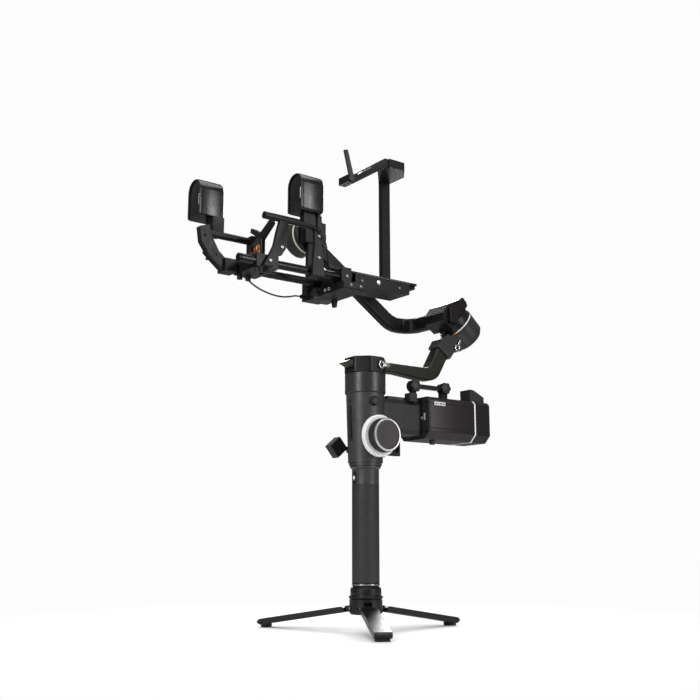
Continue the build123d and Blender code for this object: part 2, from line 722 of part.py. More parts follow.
# =================================================== lens support and motor frames
V_X = -228.0
with BuildPart() as support_clamp:
    with BuildSketch(Plane.YZ.offset(V_X - 34)):
        with Locations((0, ROD_Z)):
            Rectangle(78, 23)
        with Locations((-ROD_SPACING / 2, ROD_Z), (ROD_SPACING / 2, ROD_Z)):
            Circle(ROD_R, mode=Mode.SUBTRACT)
    extrude(amount=44)
    with BuildSketch(Plane.XY.offset(ROD_Z - 20)):
        with Locations((V_X, 0)):
            Circle(5 + RUN)
    extrude(amount=40, mode=Mode.SUBTRACT)
    with BuildSketch(Plane.XY.offset(ROD_Z - 11.5)):
        with Locations((V_X - 27, -30), (V_X - 10, -30), (V_X - 27, 30), (V_X - 10, 30)):
            Circle(5)
    extrude(amount=-8)

with BuildPart() as lens_support:
    with BuildSketch(Plane.XY.offset(ROD_Z - 9)):
        with Locations((V_X, 0)):
            Circle(5)
    extrude(amount=64)
    with BuildSketch(Plane.YZ.offset(V_X - 5)):
        with BuildLine():
            Polyline((0, 678), (34.5, 699.5), (31.5, 707.5), (0, 691), (-31.5, 707.5), (-34.5, 699.5), close=True)
        make_face()
    extrude(amount=10)

POST_T = 8.0
POST_X = -139.0
BAR_R = 6.5
SERVO_W = 46.0
SERVO_H = 72.0
SERVO_L = 48.0
SERVO_NEAR = (-187.0, -39.0, 764.0)   # front face centre of the near lens motor
SERVO_FAR = (-334.0, 61.0, 750.0)
GEAR_Y = SERVO_NEAR[1] + 9  # the gear sits towards the lens
near_under = SERVO_NEAR[2] - SERVO_H / 2
far_under = SERVO_FAR[2] - SERVO_H / 2
near_bar_z = near_under - 20

with BuildPart() as near_frame:
    with BuildSketch(y_plane(-39)):
        with BuildLine():
            Polyline((-252, 618), (-232, 618), (-229, 634), (-217, 640), (-207, 656), (-204, 684), (-202, 710),
                     (-219, 710), (-227, 680), (-232, 657), (-243, 634), close=True)
        make_face()
        with BuildLine():
            Polyline((POST_X - 13, 618), (POST_X + 13, 618), (POST_X + 11, 640), (POST_X + 6, 676),
                     (POST_X + 6, near_under), (POST_X - 8, near_under), (POST_X - 8, 676), (POST_X - 11, 640),
                     close=True)
        make_face()
    extrude(amount=POST_T)
    with BuildSketch(y_plane(-37)):
        with Locations((POST_X - 1, near_bar_z)):
            Circle(10.5)
    extrude(amount=POST_T + 4)
    with BuildSketch(Plane.YZ.offset(-252)):
        with Locations((-43, near_bar_z)):
            Circle(BAR_R)
    extrude(amount=104)
    with BuildSketch(Plane.YZ.offset(POST_X - 9)):
        with Locations((-29.5, ROD_Z)):
            Rectangle(19, 20)
    extrude(amount=18)
    with BuildSketch(Plane.YZ.offset(POST_X - 13)):
        with Locations((-ROD_SPACING / 2, ROD_Z)):
            Circle(ROD_R)
    extrude(amount=26, mode=Mode.SUBTRACT)
    with BuildSketch(Plane.XY.offset(near_bar_z)):
        with Locations((-158, -43)):
            Rectangle(30, 14)
    extrude(amount=near_under - near_bar_z)

with BuildPart() as far_frame:
    with BuildSketch(y_plane(48)):
        with BuildLine():
            Polyline((-266, 617), (-290, 617), (-290, 640), (-266, 640), close=True)
        make_face()
    extrude(amount=28)
    with BuildSketch(y_plane(40)):
        with BuildLine():
            Polyline((-272, 617), (-290, 617), (-316, 638), (-334, 664), (-338, 690), (-320, 696), (-314, 676),
                     (-300, 652), (-286, 640), (-272, 640), close=True)
        make_face()
    extrude(amount=14)
    with BuildSketch(Plane.YZ.offset(-330)):
        with Locations((33, 682)):
            Circle(BAR_R)
    extrude(amount=114)
    with BuildSketch(Plane.YZ.offset(-236)):
        with Locations((33, 676)):
            Rectangle(18, 30)
    extrude(amount=20)
    with BuildSketch(y_plane(24)):
        with Locations((-225, 665)):
            Circle(7)
    extrude(amount=12)
    with BuildSketch(Plane.XY.offset(682)):
        with Locations((-301, 42)):
            Rectangle(22, 28)
    extrude(amount=far_under - 682)
    with BuildSketch(Plane.YZ.offset(-281)):
        with Locations((ROD_SPACING / 2, ROD_Z)):
            Circle(ROD_R)
    extrude(amount=40, mode=Mode.SUBTRACT)

with BuildPart() as lens_motors:
    for front_x, mid_y, mid_z in (SERVO_NEAR, SERVO_FAR):
        with BuildSketch(Plane.YZ.offset(front_x)):
            with Locations((mid_y, mid_z)):
                RectangleRounded(SERVO_W, SERVO_H, 16)
        extrude(amount=SERVO_L)
    chamfer(lens_motors.edges().filter_by(Plane.YZ), 1.5)
    with BuildSketch(Plane.YZ.offset(SERVO_NEAR[0] + SERVO_L)):
        with Locations((GEAR_Y, SERVO_NEAR[2])):
            Circle(2.5 + RUN)
    extrude(amount=-20, mode=Mode.SUBTRACT)

gear_x = SERVO_NEAR[0] + SERVO_L
with BuildPart() as drive_gear:
    with BuildSketch(Plane.YZ.offset(gear_x + GAP)):
        with Locations((GEAR_Y, SERVO_NEAR[2])):
            Circle(15)
            with PolarLocations(15, 36):
                Circle(0.7, mode=Mode.SUBTRACT)
    extrude(amount=10)
    with BuildSketch(Plane.YZ.offset(gear_x + GAP)):
        with Locations((GEAR_Y, SERVO_NEAR[2])):
            Circle(2.5)
    extrude(amount=-18)

# =================================================== top bracket
with BuildPart() as top_bracket:
    with BuildSketch(Plane.XY.offset(PLATE_Z + 6 + GAP)):
        with Locations((96, 49)):
            Rectangle(24, 38)
    extrude(amount=9)
    with BuildSketch(Plane.XY.offset(PLATE_Z + 6 + GAP)):
        with Locations((98, 62)):
            Rectangle(20, 12)
    extrude(amount=893 - PLATE_Z - 6 - GAP)
    with BuildSketch(Plane.XY.offset(876)):
        with BuildLine():
            Polyline((48, -18), (86, -18), (108, 10), (108, 68), (88, 68), (48, 20), close=True)
        make_face()
    extrude(amount=17)
    with BuildSketch(y_plane(14)):
        with BuildLine():
            Polyline((50, 893), (40, 893), (-36, 842), (-52, 838), (-52, 824), (-36, 824), (44, 876), (50, 876),
                     close=True)
        make_face()
    extrude(amount=28)
    with BuildSketch(Plane.XY.offset(893)):
        with Locations((76, 2)):
            Circle(3.175)
    extrude(amount=-12, mode=Mode.SUBTRACT)
    with BuildSketch(y_plane(-14)):
        with Locations((-44, 831)):
            Circle(2.5 + RUN)
    extrude(amount=-28, mode=Mode.SUBTRACT)

with BuildPart() as top_lever:
    with BuildSketch(y_plane(-14 - GAP)):
        with Locations((-44, 831)):
            Circle(6)
        with BuildLine():
            Polyline((-49, 833), (-62, 884), (-54, 886), (-39, 833), close=True)
        make_face()
    extrude(amount=5)
    with BuildSketch(y_plane(-14 - GAP)):
        with Locations((-44, 831)):
            Circle(2.5)
    extrude(amount=-27)

# =================================================== cables
CABLE_D = 3.2
FRONT_ROUTE = [(-98, 72, 610), (-109, 72, 610), (-124, 69.5, 605), (-142, 66, 601), (-162, 62, 600),
               (-182, 58, 601.5), (-201, 54, 605), (-218, 50.5, 611), (-232, 47.5, 618), (-245, 46, 622),
               (-257, 46, 622)]
REAR_ROUTE = [(-144, -55, near_under - 5), (-144, -55, near_bar_z), (-139, -54, near_bar_z - 11),
              (-130, -51, near_bar_z - 23), (-122, -47, near_bar_z - 36), (-117, -42, near_bar_z - 48),
              (-112, -37, near_bar_z - 59), (-104, -34, near_bar_z - 67), (-94, -34, near_bar_z - 67)]


def corner_radii(route):
    """Arc radius at each inner point: 0.45 of the shorter run over the tangent of half the turn."""
    radii = []
    for before, here, after in zip(route, route[1:], route[2:]):
        run_in, run_out = Vector(here) - Vector(before), Vector(after) - Vector(here)
        turn = radians(run_in.get_angle(run_out))
        radii.append(0.45 * min(run_in.length, run_out.length) / tan(turn / 2))
    return radii


def cable_tube(route, name):
    """Plain tube of CABLE_D along straight runs joined by tangent arcs."""
    radii = corner_radii(route)
    with BuildPart() as tube:
        with BuildLine():
            path = FilletPolyline(*route, radius=radii)
        with BuildSketch(Plane(origin=path @ 0, z_dir=path % 0)):
            Circle(CABLE_D / 2)
        sweep(path=path)
    section = pi * CABLE_D ** 2 / 4
    print(name, "length", round(path.length, 1), "volume over section times length",
          round(tube.part.volume / section / path.length, 4), "radii", [round(r) for r in radii])
    return tube


cable_front = cable_tube(FRONT_ROUTE, "cable_front")
cable_rear = cable_tube(REAR_ROUTE, "cable_rear")

with BuildPart() as cable_plugs:
    with BuildSketch(Plane.YZ.offset(-266)):
        with Locations(FRONT_ROUTE[-1][1:]):
            Circle(2)
    extrude(amount=9)
    with BuildSketch(Plane.XY.offset(near_under)):
        with Locations(REAR_ROUTE[0][:2]):
            Circle(2.8)
    extrude(amount=-5)
    with BuildSketch(Plane.YZ.offset(ROD_X1 - 22)):
        with Locations(REAR_ROUTE[-1][1:]):
            Circle(2.8)
    extrude(amount=-10)

# =================================================== power box at the rear
BOX_X0 = 117.0
BOX_L = 160.0
BOX_X1 = BOX_X0 + BOX_L
BOX_W = 90.0
BOX_LOW = 345.0
BOX_HIGH = 425.0
BOX_WALL = 2.5
COVER_T = 4.0
CELL_R = 9.2


def box_section(x, inset=0.0):
    """Box outline across X with chamfered corners, larger below."""
    w, low, high = BOX_W / 2 - inset, BOX_LOW + inset, BOX_HIGH - inset
    with BuildSketch(Plane.YZ.offset(x)) as section:
        with BuildLine():
            Polyline((-w + 14, low), (w - 14, low), (w, low + 14), (w, high - 6), (w - 6, high), (-w + 6, high),
                     (-w, high - 6), (-w, low + 14), close=True)
        make_face()
    return section.sketch


with BuildPart() as battery_box:
    extrude(box_section(BOX_X0 + COVER_T), amount=BOX_X1 - BOX_X0 - 2 * COVER_T)
    extrude(box_section(BOX_X0 + COVER_T, BOX_WALL), amount=BOX_X1 - BOX_X0 - 2 * COVER_T, mode=Mode.SUBTRACT)

with BuildPart() as box_covers:
    extrude(box_section(BOX_X0), amount=COVER_T)
    extrude(box_section(BOX_X1 - COVER_T), amount=COVER_T)
    chamfer(box_covers.edges().group_by(Axis.X)[-1], 2)

CELL_L = (BOX_L - 30) / 2
with BuildPart() as battery_cells:
    for start in (BOX_X0 + 10, BOX_X0 + 15 + CELL_L):
        with BuildSketch(Plane.YZ.offset(start)):
            with Locations((0, (BOX_LOW + BOX_HIGH) / 2)):
                with GridLocations(24, 24, 3, 2):
                    Circle(CELL_R)
        extrude(amount=CELL_L)

with BuildPart() as box_mount:
    with BuildSketch(Plane.YZ.offset(20)):
        with BuildLine():
            Polyline((-22, 352), (22, 352), (24, 360), (24, 408), (18, 416), (-18, 416), (-24, 408), (-24, 360),
                     close=True)
        make_face()
    extrude(amount=BOX_X0 - 20)
    with BuildSketch(Plane.XY.offset(414)):
        with Locations((72, -6)):
            Rectangle(64, 20)
    extrude(amount=8)
    with BuildSketch(Plane.XY.offset(414)):
        with Locations((92, -22)):
            Rectangle(18, 16)
    extrude(amount=16)
    with BuildSketch(Plane.XZ):
        with BuildLine():
            Polyline((0, NECK_TOP), (BODY_R_LOW, NECK_TOP), (BODY_R_TOP, BODY_TOP), (0, BODY_TOP), close=True)
        make_face()
    revolve(axis=Axis.Z, mode=Mode.SUBTRACT)

HANDLE_LEAN = 25.0     # the handle socket leans to the rear
HANDLE_SEAT = (BOX_X1 - 15, -14.0, BOX_HIGH + 16)
handle_dir = (sin(radians(HANDLE_LEAN)), 0, cos(radians(HANDLE_LEAN)))
with BuildPart() as handle_mount:
    with BuildSketch(Plane.XY.offset(BOX_HIGH)) as handle_outline:
        with Locations((BOX_X1 - 19, -14)):
            Rectangle(36, 40)
        chamfer(handle_outline.vertices(), 5)
    extrude(amount=30)
    with BuildSketch(Plane(origin=HANDLE_SEAT, x_dir=(0, 1, 0), z_dir=handle_dir)):
        Rectangle(80, 80)
    extrude(amount=40, mode=Mode.SUBTRACT)
    with BuildSketch(Plane(origin=HANDLE_SEAT, x_dir=(0, 1, 0), z_dir=handle_dir)):
        Circle(THREAD_R)
    extrude(amount=-14, mode=Mode.SUBTRACT)

KNOB1 = (96.0, 444.0)
KNOB2 = (172.0, 446.0)
ELBOW_R = 11.5
KNOB_SCREW_R = 2.0
with BuildPart() as mini_arm:
    with BuildSketch(y_plane(-18)):
        with Locations(KNOB1, KNOB2):
            Circle(ELBOW_R)
        with Locations(((KNOB1[0] + KNOB2[0]) / 2, (KNOB1[1] + KNOB2[1]) / 2)):
            Rectangle(KNOB2[0] - KNOB1[0], 8)
        with Locations((KNOB1[0], 436)):
            Rectangle(9, 12)
        with Locations((KNOB2[0], BOX_HIGH + 6)):
            Rectangle(15, 12)
    extrude(amount=10)
    with BuildSketch(y_plane(-18)):
        with Locations(KNOB1):
            Circle(KNOB_SCREW_R + RUN)
    extrude(amount=10, mode=Mode.SUBTRACT)

with BuildPart() as arm_knob:
    with BuildSketch(y_plane(-28 - GAP)):
        with Locations(KNOB1):
            Circle(ELBOW_R + 0.5)
            with PolarLocations(ELBOW_R + 0.5, 6):
                Circle(2.2, mode=Mode.SUBTRACT)
    extrude(amount=7)
    with BuildSketch(y_plane(-28 - GAP)):
        with Locations(KNOB1):
            Circle(KNOB_SCREW_R)
    extrude(amount=-9)

# =================================================== phone holder
HOLDER_Y = 48.0
HOLDER_Z = 324.0
HOLDER_T = 6.0
HOLDER_X0 = -4.0
HOLDER_X1 = 122.0
JAW_X = -26.0
JAW_W = 28.0
GUIDE_R = 2.0
GUIDE_Y = HOLDER_Y + HOLDER_T / 2
with BuildPart() as phone_mount:
    with BuildSketch(y_plane(HOLDER_Y + HOLDER_T)):
        with Locations(((HOLDER_X0 + HOLDER_X1) / 2, HOLDER_Z)):
            Rectangle(HOLDER_X1 - HOLDER_X0, 12)
    extrude(amount=HOLDER_T)
    with BuildSketch(y_plane(HOLDER_Y + 16)):
        with Locations((HOLDER_X1 - 4, HOLDER_Z + 12)):
            Rectangle(8, 34)
    extrude(amount=16)
    with BuildSketch(y_plane(HOLDER_Y)):
        with Locations((HOLDER_X0 + 10, HOLDER_Z)):
            Rectangle(20, 20)
    extrude(amount=30)
    with BuildSketch(Plane.YZ.offset(HOLDER_X0)):
        with Locations((GUIDE_Y, HOLDER_Z)):
            Circle(GUIDE_R + RUN)
    extrude(amount=52, mode=Mode.SUBTRACT)
    with BuildSketch(Plane.XZ):
        with BuildLine():
            Polyline((0, NECK_TOP), (BODY_R_LOW, NECK_TOP), (BODY_R_TOP, BODY_TOP), (0, BODY_TOP), close=True)
        make_face()
    revolve(axis=Axis.Z, mode=Mode.SUBTRACT)

with BuildPart() as phone_jaw:
    with BuildSketch(y_plane(HOLDER_Y + 16)):
        with Locations((JAW_X, HOLDER_Z + 3)):
            Rectangle(JAW_W, JAW_W, rotation=40)
    extrude(amount=18)
    with BuildSketch(Plane.YZ.offset(JAW_X)):
        with Locations((GUIDE_Y, HOLDER_Z)):
            Circle(GUIDE_R)
    extrude(amount=68)

PIECES = {
    "tripod_hub": tripod_hub, "leg_pins": leg_pins, "lower_collar": lower_collar, "grip_tube": grip_tube,
    "grip_sleeve": grip_sleeve, "column_bolt": column_bolt, "neck_collar": neck_collar,
    "release_latch": release_latch, "body_shell_near": body_shell_near, "body_shell_far": body_shell_far,
    "control_board": control_board, "trigger": trigger, "start_button": start_button,
    "wheel_ring": wheel_ring, "focus_knob": focus_knob, "knob_cap": knob_cap,
    "pan_housing": pan_housing, "pan_stator": pan_stator, "pan_rotor": pan_rotor, "pan_head": pan_head,
    "pan_lever": pan_lever, "pan_arm": pan_arm, "roll_housing": roll_housing, "roll_lever": roll_lever,
    "roll_rotor": roll_rotor, "roll_arm": roll_arm, "tilt_housing": tilt_housing, "tilt_rotor": tilt_rotor,
    "tilt_arm": tilt_arm, "base_clamp": base_clamp, "plate_lever": plate_lever, "top_plate": top_plate,
    "rod_clamp": rod_clamp, "rods": rods, "support_clamp": support_clamp, "lens_support": lens_support,
    "near_frame": near_frame, "far_frame": far_frame, "lens_motors": lens_motors, "drive_gear": drive_gear,
    "top_bracket": top_bracket, "top_lever": top_lever, "cable_front": cable_front, "cable_rear": cable_rear,
    "cable_plugs": cable_plugs, "battery_box": battery_box, "box_covers": box_covers,
    "battery_cells": battery_cells, "box_mount": box_mount, "handle_mount": handle_mount,
    "mini_arm": mini_arm, "arm_knob": arm_knob, "phone_mount": phone_mount, "phone_jaw": phone_jaw,
}
for number, (leg, foot_pad) in enumerate(zip(legs, foot_pads), start=1):
    PIECES[f"leg_{number}"] = leg
    PIECES[f"foot_pad_{number}"] = foot_pad

os.makedirs("parts", exist_ok=True)
for name, piece in PIECES.items():
    piece.part.label = name
    export_step(piece.part, f"parts/{name}.step")
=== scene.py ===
"""Looks of a three-axis camera gimbal on a table tripod, built in metres around its CAD frame.

New surfaces are worked out in millimetres and scaled once, when they are put into a mesh.
"""
import json
from math import cos, pi, radians, sin

import bmesh
import bpy
import numpy as np
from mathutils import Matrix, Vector

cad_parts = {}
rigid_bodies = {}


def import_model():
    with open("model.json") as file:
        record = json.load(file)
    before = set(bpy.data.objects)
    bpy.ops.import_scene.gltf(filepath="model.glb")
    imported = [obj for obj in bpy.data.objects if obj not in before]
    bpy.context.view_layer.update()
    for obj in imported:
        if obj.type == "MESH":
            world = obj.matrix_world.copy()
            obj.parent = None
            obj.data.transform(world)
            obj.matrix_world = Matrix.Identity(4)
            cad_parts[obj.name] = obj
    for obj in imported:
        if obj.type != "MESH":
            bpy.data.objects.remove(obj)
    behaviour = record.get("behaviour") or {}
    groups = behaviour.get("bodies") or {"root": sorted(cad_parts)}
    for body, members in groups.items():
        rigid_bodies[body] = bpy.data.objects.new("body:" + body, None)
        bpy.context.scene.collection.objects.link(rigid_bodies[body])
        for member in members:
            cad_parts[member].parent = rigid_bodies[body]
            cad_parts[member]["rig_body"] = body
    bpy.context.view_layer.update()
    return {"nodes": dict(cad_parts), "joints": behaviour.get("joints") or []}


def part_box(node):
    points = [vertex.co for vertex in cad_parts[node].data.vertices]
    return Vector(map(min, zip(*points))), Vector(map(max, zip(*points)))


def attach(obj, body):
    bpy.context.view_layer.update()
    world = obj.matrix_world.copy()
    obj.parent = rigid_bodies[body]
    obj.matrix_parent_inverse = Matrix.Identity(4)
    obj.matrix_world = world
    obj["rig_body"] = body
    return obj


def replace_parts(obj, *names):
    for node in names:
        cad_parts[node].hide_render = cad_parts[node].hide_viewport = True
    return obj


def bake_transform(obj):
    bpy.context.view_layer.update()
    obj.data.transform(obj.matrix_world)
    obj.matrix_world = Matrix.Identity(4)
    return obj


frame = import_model()

MM = 0.001
X, Y, Z = np.eye(3)
JOINTS = {j["name"]: j for j in frame["joints"]}


def box_mm(node):
    """Lowest and highest corner of a CAD node, in millimetres."""
    low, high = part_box(node)
    return np.array(low) / MM, np.array(high) / MM


def pivot(joint):
    """A point on a joint's axis, in millimetres, and the axis."""
    return np.array(JOINTS[joint]["pos_m"]) / MM, np.array(JOINTS[joint]["axis"], float)


def body_of(node):
    return frame["nodes"][node]["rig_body"]


# ============================================================ materials
def srgb(code):
    """Linear colour of an sRGB hex code."""
    parts = [int(code[i:i + 2], 16) / 255 for i in (1, 3, 5)]
    return (*[p / 12.92 if p <= 0.04045 else ((p + 0.055) / 1.055) ** 2.4 for p in parts], 1.0)


def add(tree, kind, inputs=None, **settings):
    """Adds one shader node with its settings; an input is a value or the socket linked to it."""
    made = tree.nodes.new(kind)
    for name, value in settings.items():
        setattr(made, name, value)
    for key, value in (inputs or {}).items():
        if isinstance(value, bpy.types.NodeSocket):
            tree.links.new(value, made.inputs[key])
        else:
            made.inputs[key].default_value = value
    return made


def blank(name, **fixed):
    """A material with its node tree, its shader and its Object coordinates."""
    made = bpy.data.materials.new(name)
    made.use_nodes = True
    tree = made.node_tree
    shader = tree.nodes["Principled BSDF"]
    for socket, value in fixed.items():
        shader.inputs[socket.replace("_", " ")].default_value = value
    place = add(tree, "ShaderNodeTexCoord").outputs["Object"]
    return made, tree, shader, place


def speckled(name, dark, painted_highlight, gloss, grain, depth, drift=35.0, **fixed):
    """Base colour drifts between two close tones over drift mm, roughness between the two gloss
    values over a third of that, and a noise of the grain's width in mm is pressed in by depth mm."""
    made, tree, shader, place = blank(name, **fixed)
    slow = add(tree, "ShaderNodeTexNoise", {"Vector": place, "Scale": 1 / (drift * MM), "Detail": 3.0})
    tone = add(tree, "ShaderNodeMix", {"Factor": slow.outputs["Fac"], "A": srgb(dark), "B": srgb(painted_highlight)},
               data_type="RGBA")
    hands = add(tree, "ShaderNodeTexNoise",
                {"Vector": place, "Scale": 3 / (drift * MM), "Detail": 4.0, "Roughness": 0.6})
    shine = add(tree, "ShaderNodeMapRange",
                {"Value": hands.outputs["Fac"], "From Min": 0.3, "From Max": 0.7,
                 "To Min": gloss[0], "To Max": gloss[1]})
    grit = add(tree, "ShaderNodeTexNoise", {"Vector": place, "Scale": 1 / (grain * MM), "Detail": 2.0})
    bump = add(tree, "ShaderNodeBump",
               {"Height": grit.outputs["Fac"], "Distance": depth * MM, "Strength": 1.0})
    tree.links.new(tone.outputs["Result"], shader.inputs["Base Color"])
    tree.links.new(shine.outputs["Result"], shader.inputs["Roughness"])
    tree.links.new(bump.outputs["Normal"], shader.inputs["Normal"])
    return made


def lined(name, dark, painted_highlight, gloss, direction, pitch, depth, **fixed):
    """Fine parallel lines across a direction, each pitch mm wide, as turning or brushing leaves."""
    made, tree, shader, place = blank(name, **fixed)
    stretch = [1 / (pitch * MM) if d else 1 / (60 * MM) for d in direction]
    along = add(tree, "ShaderNodeVectorMath", {0: place, 1: stretch}, operation="MULTIPLY")
    lines = add(tree, "ShaderNodeTexNoise", {"Vector": along.outputs[0], "Scale": 1.0, "Detail": 3.0})
    tone = add(tree, "ShaderNodeMix", {"Factor": lines.outputs["Fac"], "A": srgb(dark), "B": srgb(painted_highlight)},
               data_type="RGBA")
    shine = add(tree, "ShaderNodeMapRange",
                {"Value": lines.outputs["Fac"], "To Min": gloss[0], "To Max": gloss[1]})
    bump = add(tree, "ShaderNodeBump",
               {"Height": lines.outputs["Fac"], "Distance": depth * MM, "Strength": 1.0})
    tree.links.new(tone.outputs["Result"], shader.inputs["Base Color"])
    tree.links.new(shine.outputs["Result"], shader.inputs["Roughness"])
    tree.links.new(bump.outputs["Normal"], shader.inputs["Normal"])
    return made


# Bead-blasted aluminium, dyed black and sealed: a soft metal sheen over a 0.15 mm grit drawn at 0.7 mm.
blasted_black = speckled("blasted_black_anodised_aluminium", "#161517", "#1F1D20", (0.34, 0.46), 0.7, 0.010,
                         Metallic=0.55)
# The same dye on the machined arms, thinner and slightly brown where light grazes them.
arm_black = speckled("satin_black_anodised_arm", "#1B181A", "#252123", (0.28, 0.38), 0.6, 0.006, Metallic=0.6)
# The pan arm's dye has gone a little olive.
arm_olive = speckled("satin_olive_black_anodised_arm", "#26251F", "#302F28", (0.30, 0.40), 0.6, 0.006,
                     Metallic=0.6)
# Cast magnesium body with baked charcoal paint: fine leather-like grain about 0.9 mm across.
charcoal_paint = speckled("charcoal_baked_paint", "#2E2E30", "#38383A", (0.40, 0.52), 0.9, 0.018)
# Drawn rod, black dye, finer and brighter than the plates.
drawn_rod = lined("drawn_black_anodised_rod", "#141415", "#1C1C1E", (0.20, 0.30), (0, 1, 1), 0.8, 0.004,
                  Metallic=0.6)
# Moulded ABS with a spark-eroded texture, 0.6 mm grain: dull and even.
moulded_abs = speckled("moulded_black_abs", "#101011", "#18181A", (0.46, 0.60), 0.6, 0.016)
# Painted motor cans: satin dark grey with a warm cast.
motor_satin = speckled("motor_can_satin_paint", "#262426", "#302E30", (0.30, 0.42), 0.8, 0.008)
# Polished polycarbonate covers of the lens motors: deep black, half bright, faint orange peel 5 mm wide.
gloss_pc = speckled("gloss_black_polycarbonate", "#070708", "#0B0B0C", (0.20, 0.30), 5.0, 0.004, drift=60.0)
# Grip rubber, moulded and lightly dusted: matt, with 0.5 mm pores drawn at 0.8 mm.
grip_rubber = speckled("moulded_grip_rubber", "#1B1B1D", "#242426", (0.58, 0.70), 0.8, 0.030, drift=50.0)
# Dense pad rubber under the feet and between the jaws.
pad_rubber = speckled("pressed_pad_rubber", "#141415", "#1C1C1D", (0.70, 0.82), 1.1, 0.050)
# PVC cable jacket: soft sheen, slight wave from the extruder.
cable_pvc = speckled("extruded_pvc_cable", "#111112", "#19191A", (0.36, 0.48), 2.5, 0.030, drift=20.0)
# Injection-moulded white ABS ring.
white_abs = speckled("moulded_white_abs", "#ECECEA", "#F4F4F3", (0.24, 0.34), 1.2, 0.006)
# Cream light guide of the tilt motor.
cream_acrylic = speckled("cream_acrylic_ring", "#E4DCBC", "#EEE8CF", (0.18, 0.28), 2.0, 0.004)
# Copper-coloured dye on turned aluminium.
copper_dye = lined("turned_copper_dyed_aluminium", "#B0653A", "#CD8355", (0.22, 0.34), (1, 0, 0), 0.5, 0.006,
                   Metallic=1.0)
# Chrome on the die-cast levers: bright, with faint polishing swirls.
chrome = speckled("polished_chrome", "#D9D8D6", "#E6E5E3", (0.07, 0.16), 1.6, 0.003, Metallic=1.0)
# Satin silver rim of the focus knob.
silver_rim = speckled("satin_silver_rim", "#C9C7C4", "#D8D6D3", (0.30, 0.42), 1.2, 0.002, Metallic=0.8)
# Turned steel, circular tool marks 0.3 mm apart.
turned_steel = lined("turned_steel", "#8E8E90", "#A9A9AB", (0.22, 0.36), (0, 0, 1), 0.6, 0.006, Metallic=1.0)
# Black oxide on cap screws: dark, oily, half bright.
black_oxide = speckled("black_oxide_steel", "#1B1B1E", "#2A2A2D", (0.24, 0.36), 0.5, 0.004, Metallic=0.9)
# Extruded aluminium box, brown-black dye, brushed along its length with lines 0.7 mm apart.
brushed_box = lined("brushed_brown_black_box", "#231F22", "#2E292C", (0.30, 0.42), (0, 1, 1), 1.0, 0.012,
                    Metallic=0.5)
# Cap of the focus knob: spun aluminium, dark grey.
spun_grey = lined("spun_dark_grey_aluminium", "#322E30", "#3F3A3C", (0.34, 0.46), (1, 0, 1), 0.7, 0.008,
                  Metallic=0.4)
# Glass-fibre board with green solder mask over 1.5 mm tracks.
solder_mask = speckled("green_solder_mask_board", "#14502B", "#1C6B3A", (0.25, 0.40), 1.5, 0.030)
# Shrink sleeve on the cells: blue PVC.
cell_sleeve = speckled("blue_cell_sleeve", "#1F4C8C", "#2A5FA5", (0.22, 0.34), 3.0, 0.010)
# Stacked motor plates with copper between them.
motor_plates = lined("stacked_motor_plates", "#55565A", "#7C6A58", (0.35, 0.5), (0, 0, 1), 0.8, 0.020,
                     Metallic=0.9)

FINISH = {
    blasted_black: "tripod_hub lower_collar pan_head tilt_rotor tilt_arm base_clamp top_plate "
                   "rod_clamp support_clamp near_frame far_frame top_bracket leg_1 leg_2 leg_3 mini_arm "
                   "grip_tube lens_support",
    drawn_rod: "rods",
    arm_black: "roll_arm roll_rotor",
    arm_olive: "pan_arm",
    charcoal_paint: "neck_collar body_shell_near body_shell_far",
    moulded_abs: "trigger box_covers box_mount handle_mount phone_mount phone_jaw drive_gear cable_plugs "
                 "start_button arm_knob focus_knob plate_lever",
    motor_satin: "pan_housing roll_housing tilt_housing",
    gloss_pc: "lens_motors release_latch",
    grip_rubber: "grip_sleeve",
    pad_rubber: "foot_pad_1 foot_pad_2 foot_pad_3",
    cable_pvc: "cable_front cable_rear",
    white_abs: "wheel_ring",
    spun_grey: "knob_cap top_lever",
    chrome: "pan_lever roll_lever",
    turned_steel: "leg_pins column_bolt pan_rotor",
    motor_plates: "pan_stator",
    brushed_box: "battery_box",
    solder_mask: "control_board",
    cell_sleeve: "battery_cells",
}
finish_of = {node: finish for finish, names in FINISH.items() for node in names.split()}
for node, piece in frame["nodes"].items():
    piece.data.materials.clear()
    piece.data.materials.append(finish_of[node])


# ============================================================ mesh tools
def put(name, points, faces, finish, body, sharp=35):
    """Puts points in millimetres and faces into a closed mesh that rides on a body."""
    mesh = bpy.data.meshes.new(name)
    mesh.from_pydata((np.asarray(points) * MM).tolist(), [], faces)
    shape = bmesh.new()
    shape.from_mesh(mesh)
    bmesh.ops.remove_doubles(shape, verts=shape.verts, dist=1e-7)
    bmesh.ops.dissolve_degenerate(shape, edges=shape.edges, dist=1e-8)
    bmesh.ops.recalc_face_normals(shape, faces=shape.faces)
    shape.to_mesh(mesh)
    shape.free()
    mesh.shade_smooth()
    mesh.set_sharp_from_angle(angle=radians(sharp))
    mesh.materials.append(finish)
    piece = bpy.data.objects.new(name, mesh)
    bpy.context.scene.collection.objects.link(piece)
    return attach(piece, body)


def quads(rows, columns, wrap_rows, wrap_columns):
    """Index quads of a grid of points, closed on itself where asked."""
    i, j = np.meshgrid(np.arange(rows - (not wrap_rows)), np.arange(columns - (not wrap_columns)),
                       indexing="ij")
    i2, j2 = (i + 1) % rows, (j + 1) % columns
    corners = np.stack([i * columns + j, i2 * columns + j, i2 * columns + j2, i * columns + j2], -1)
    return corners.reshape(-1, 4)


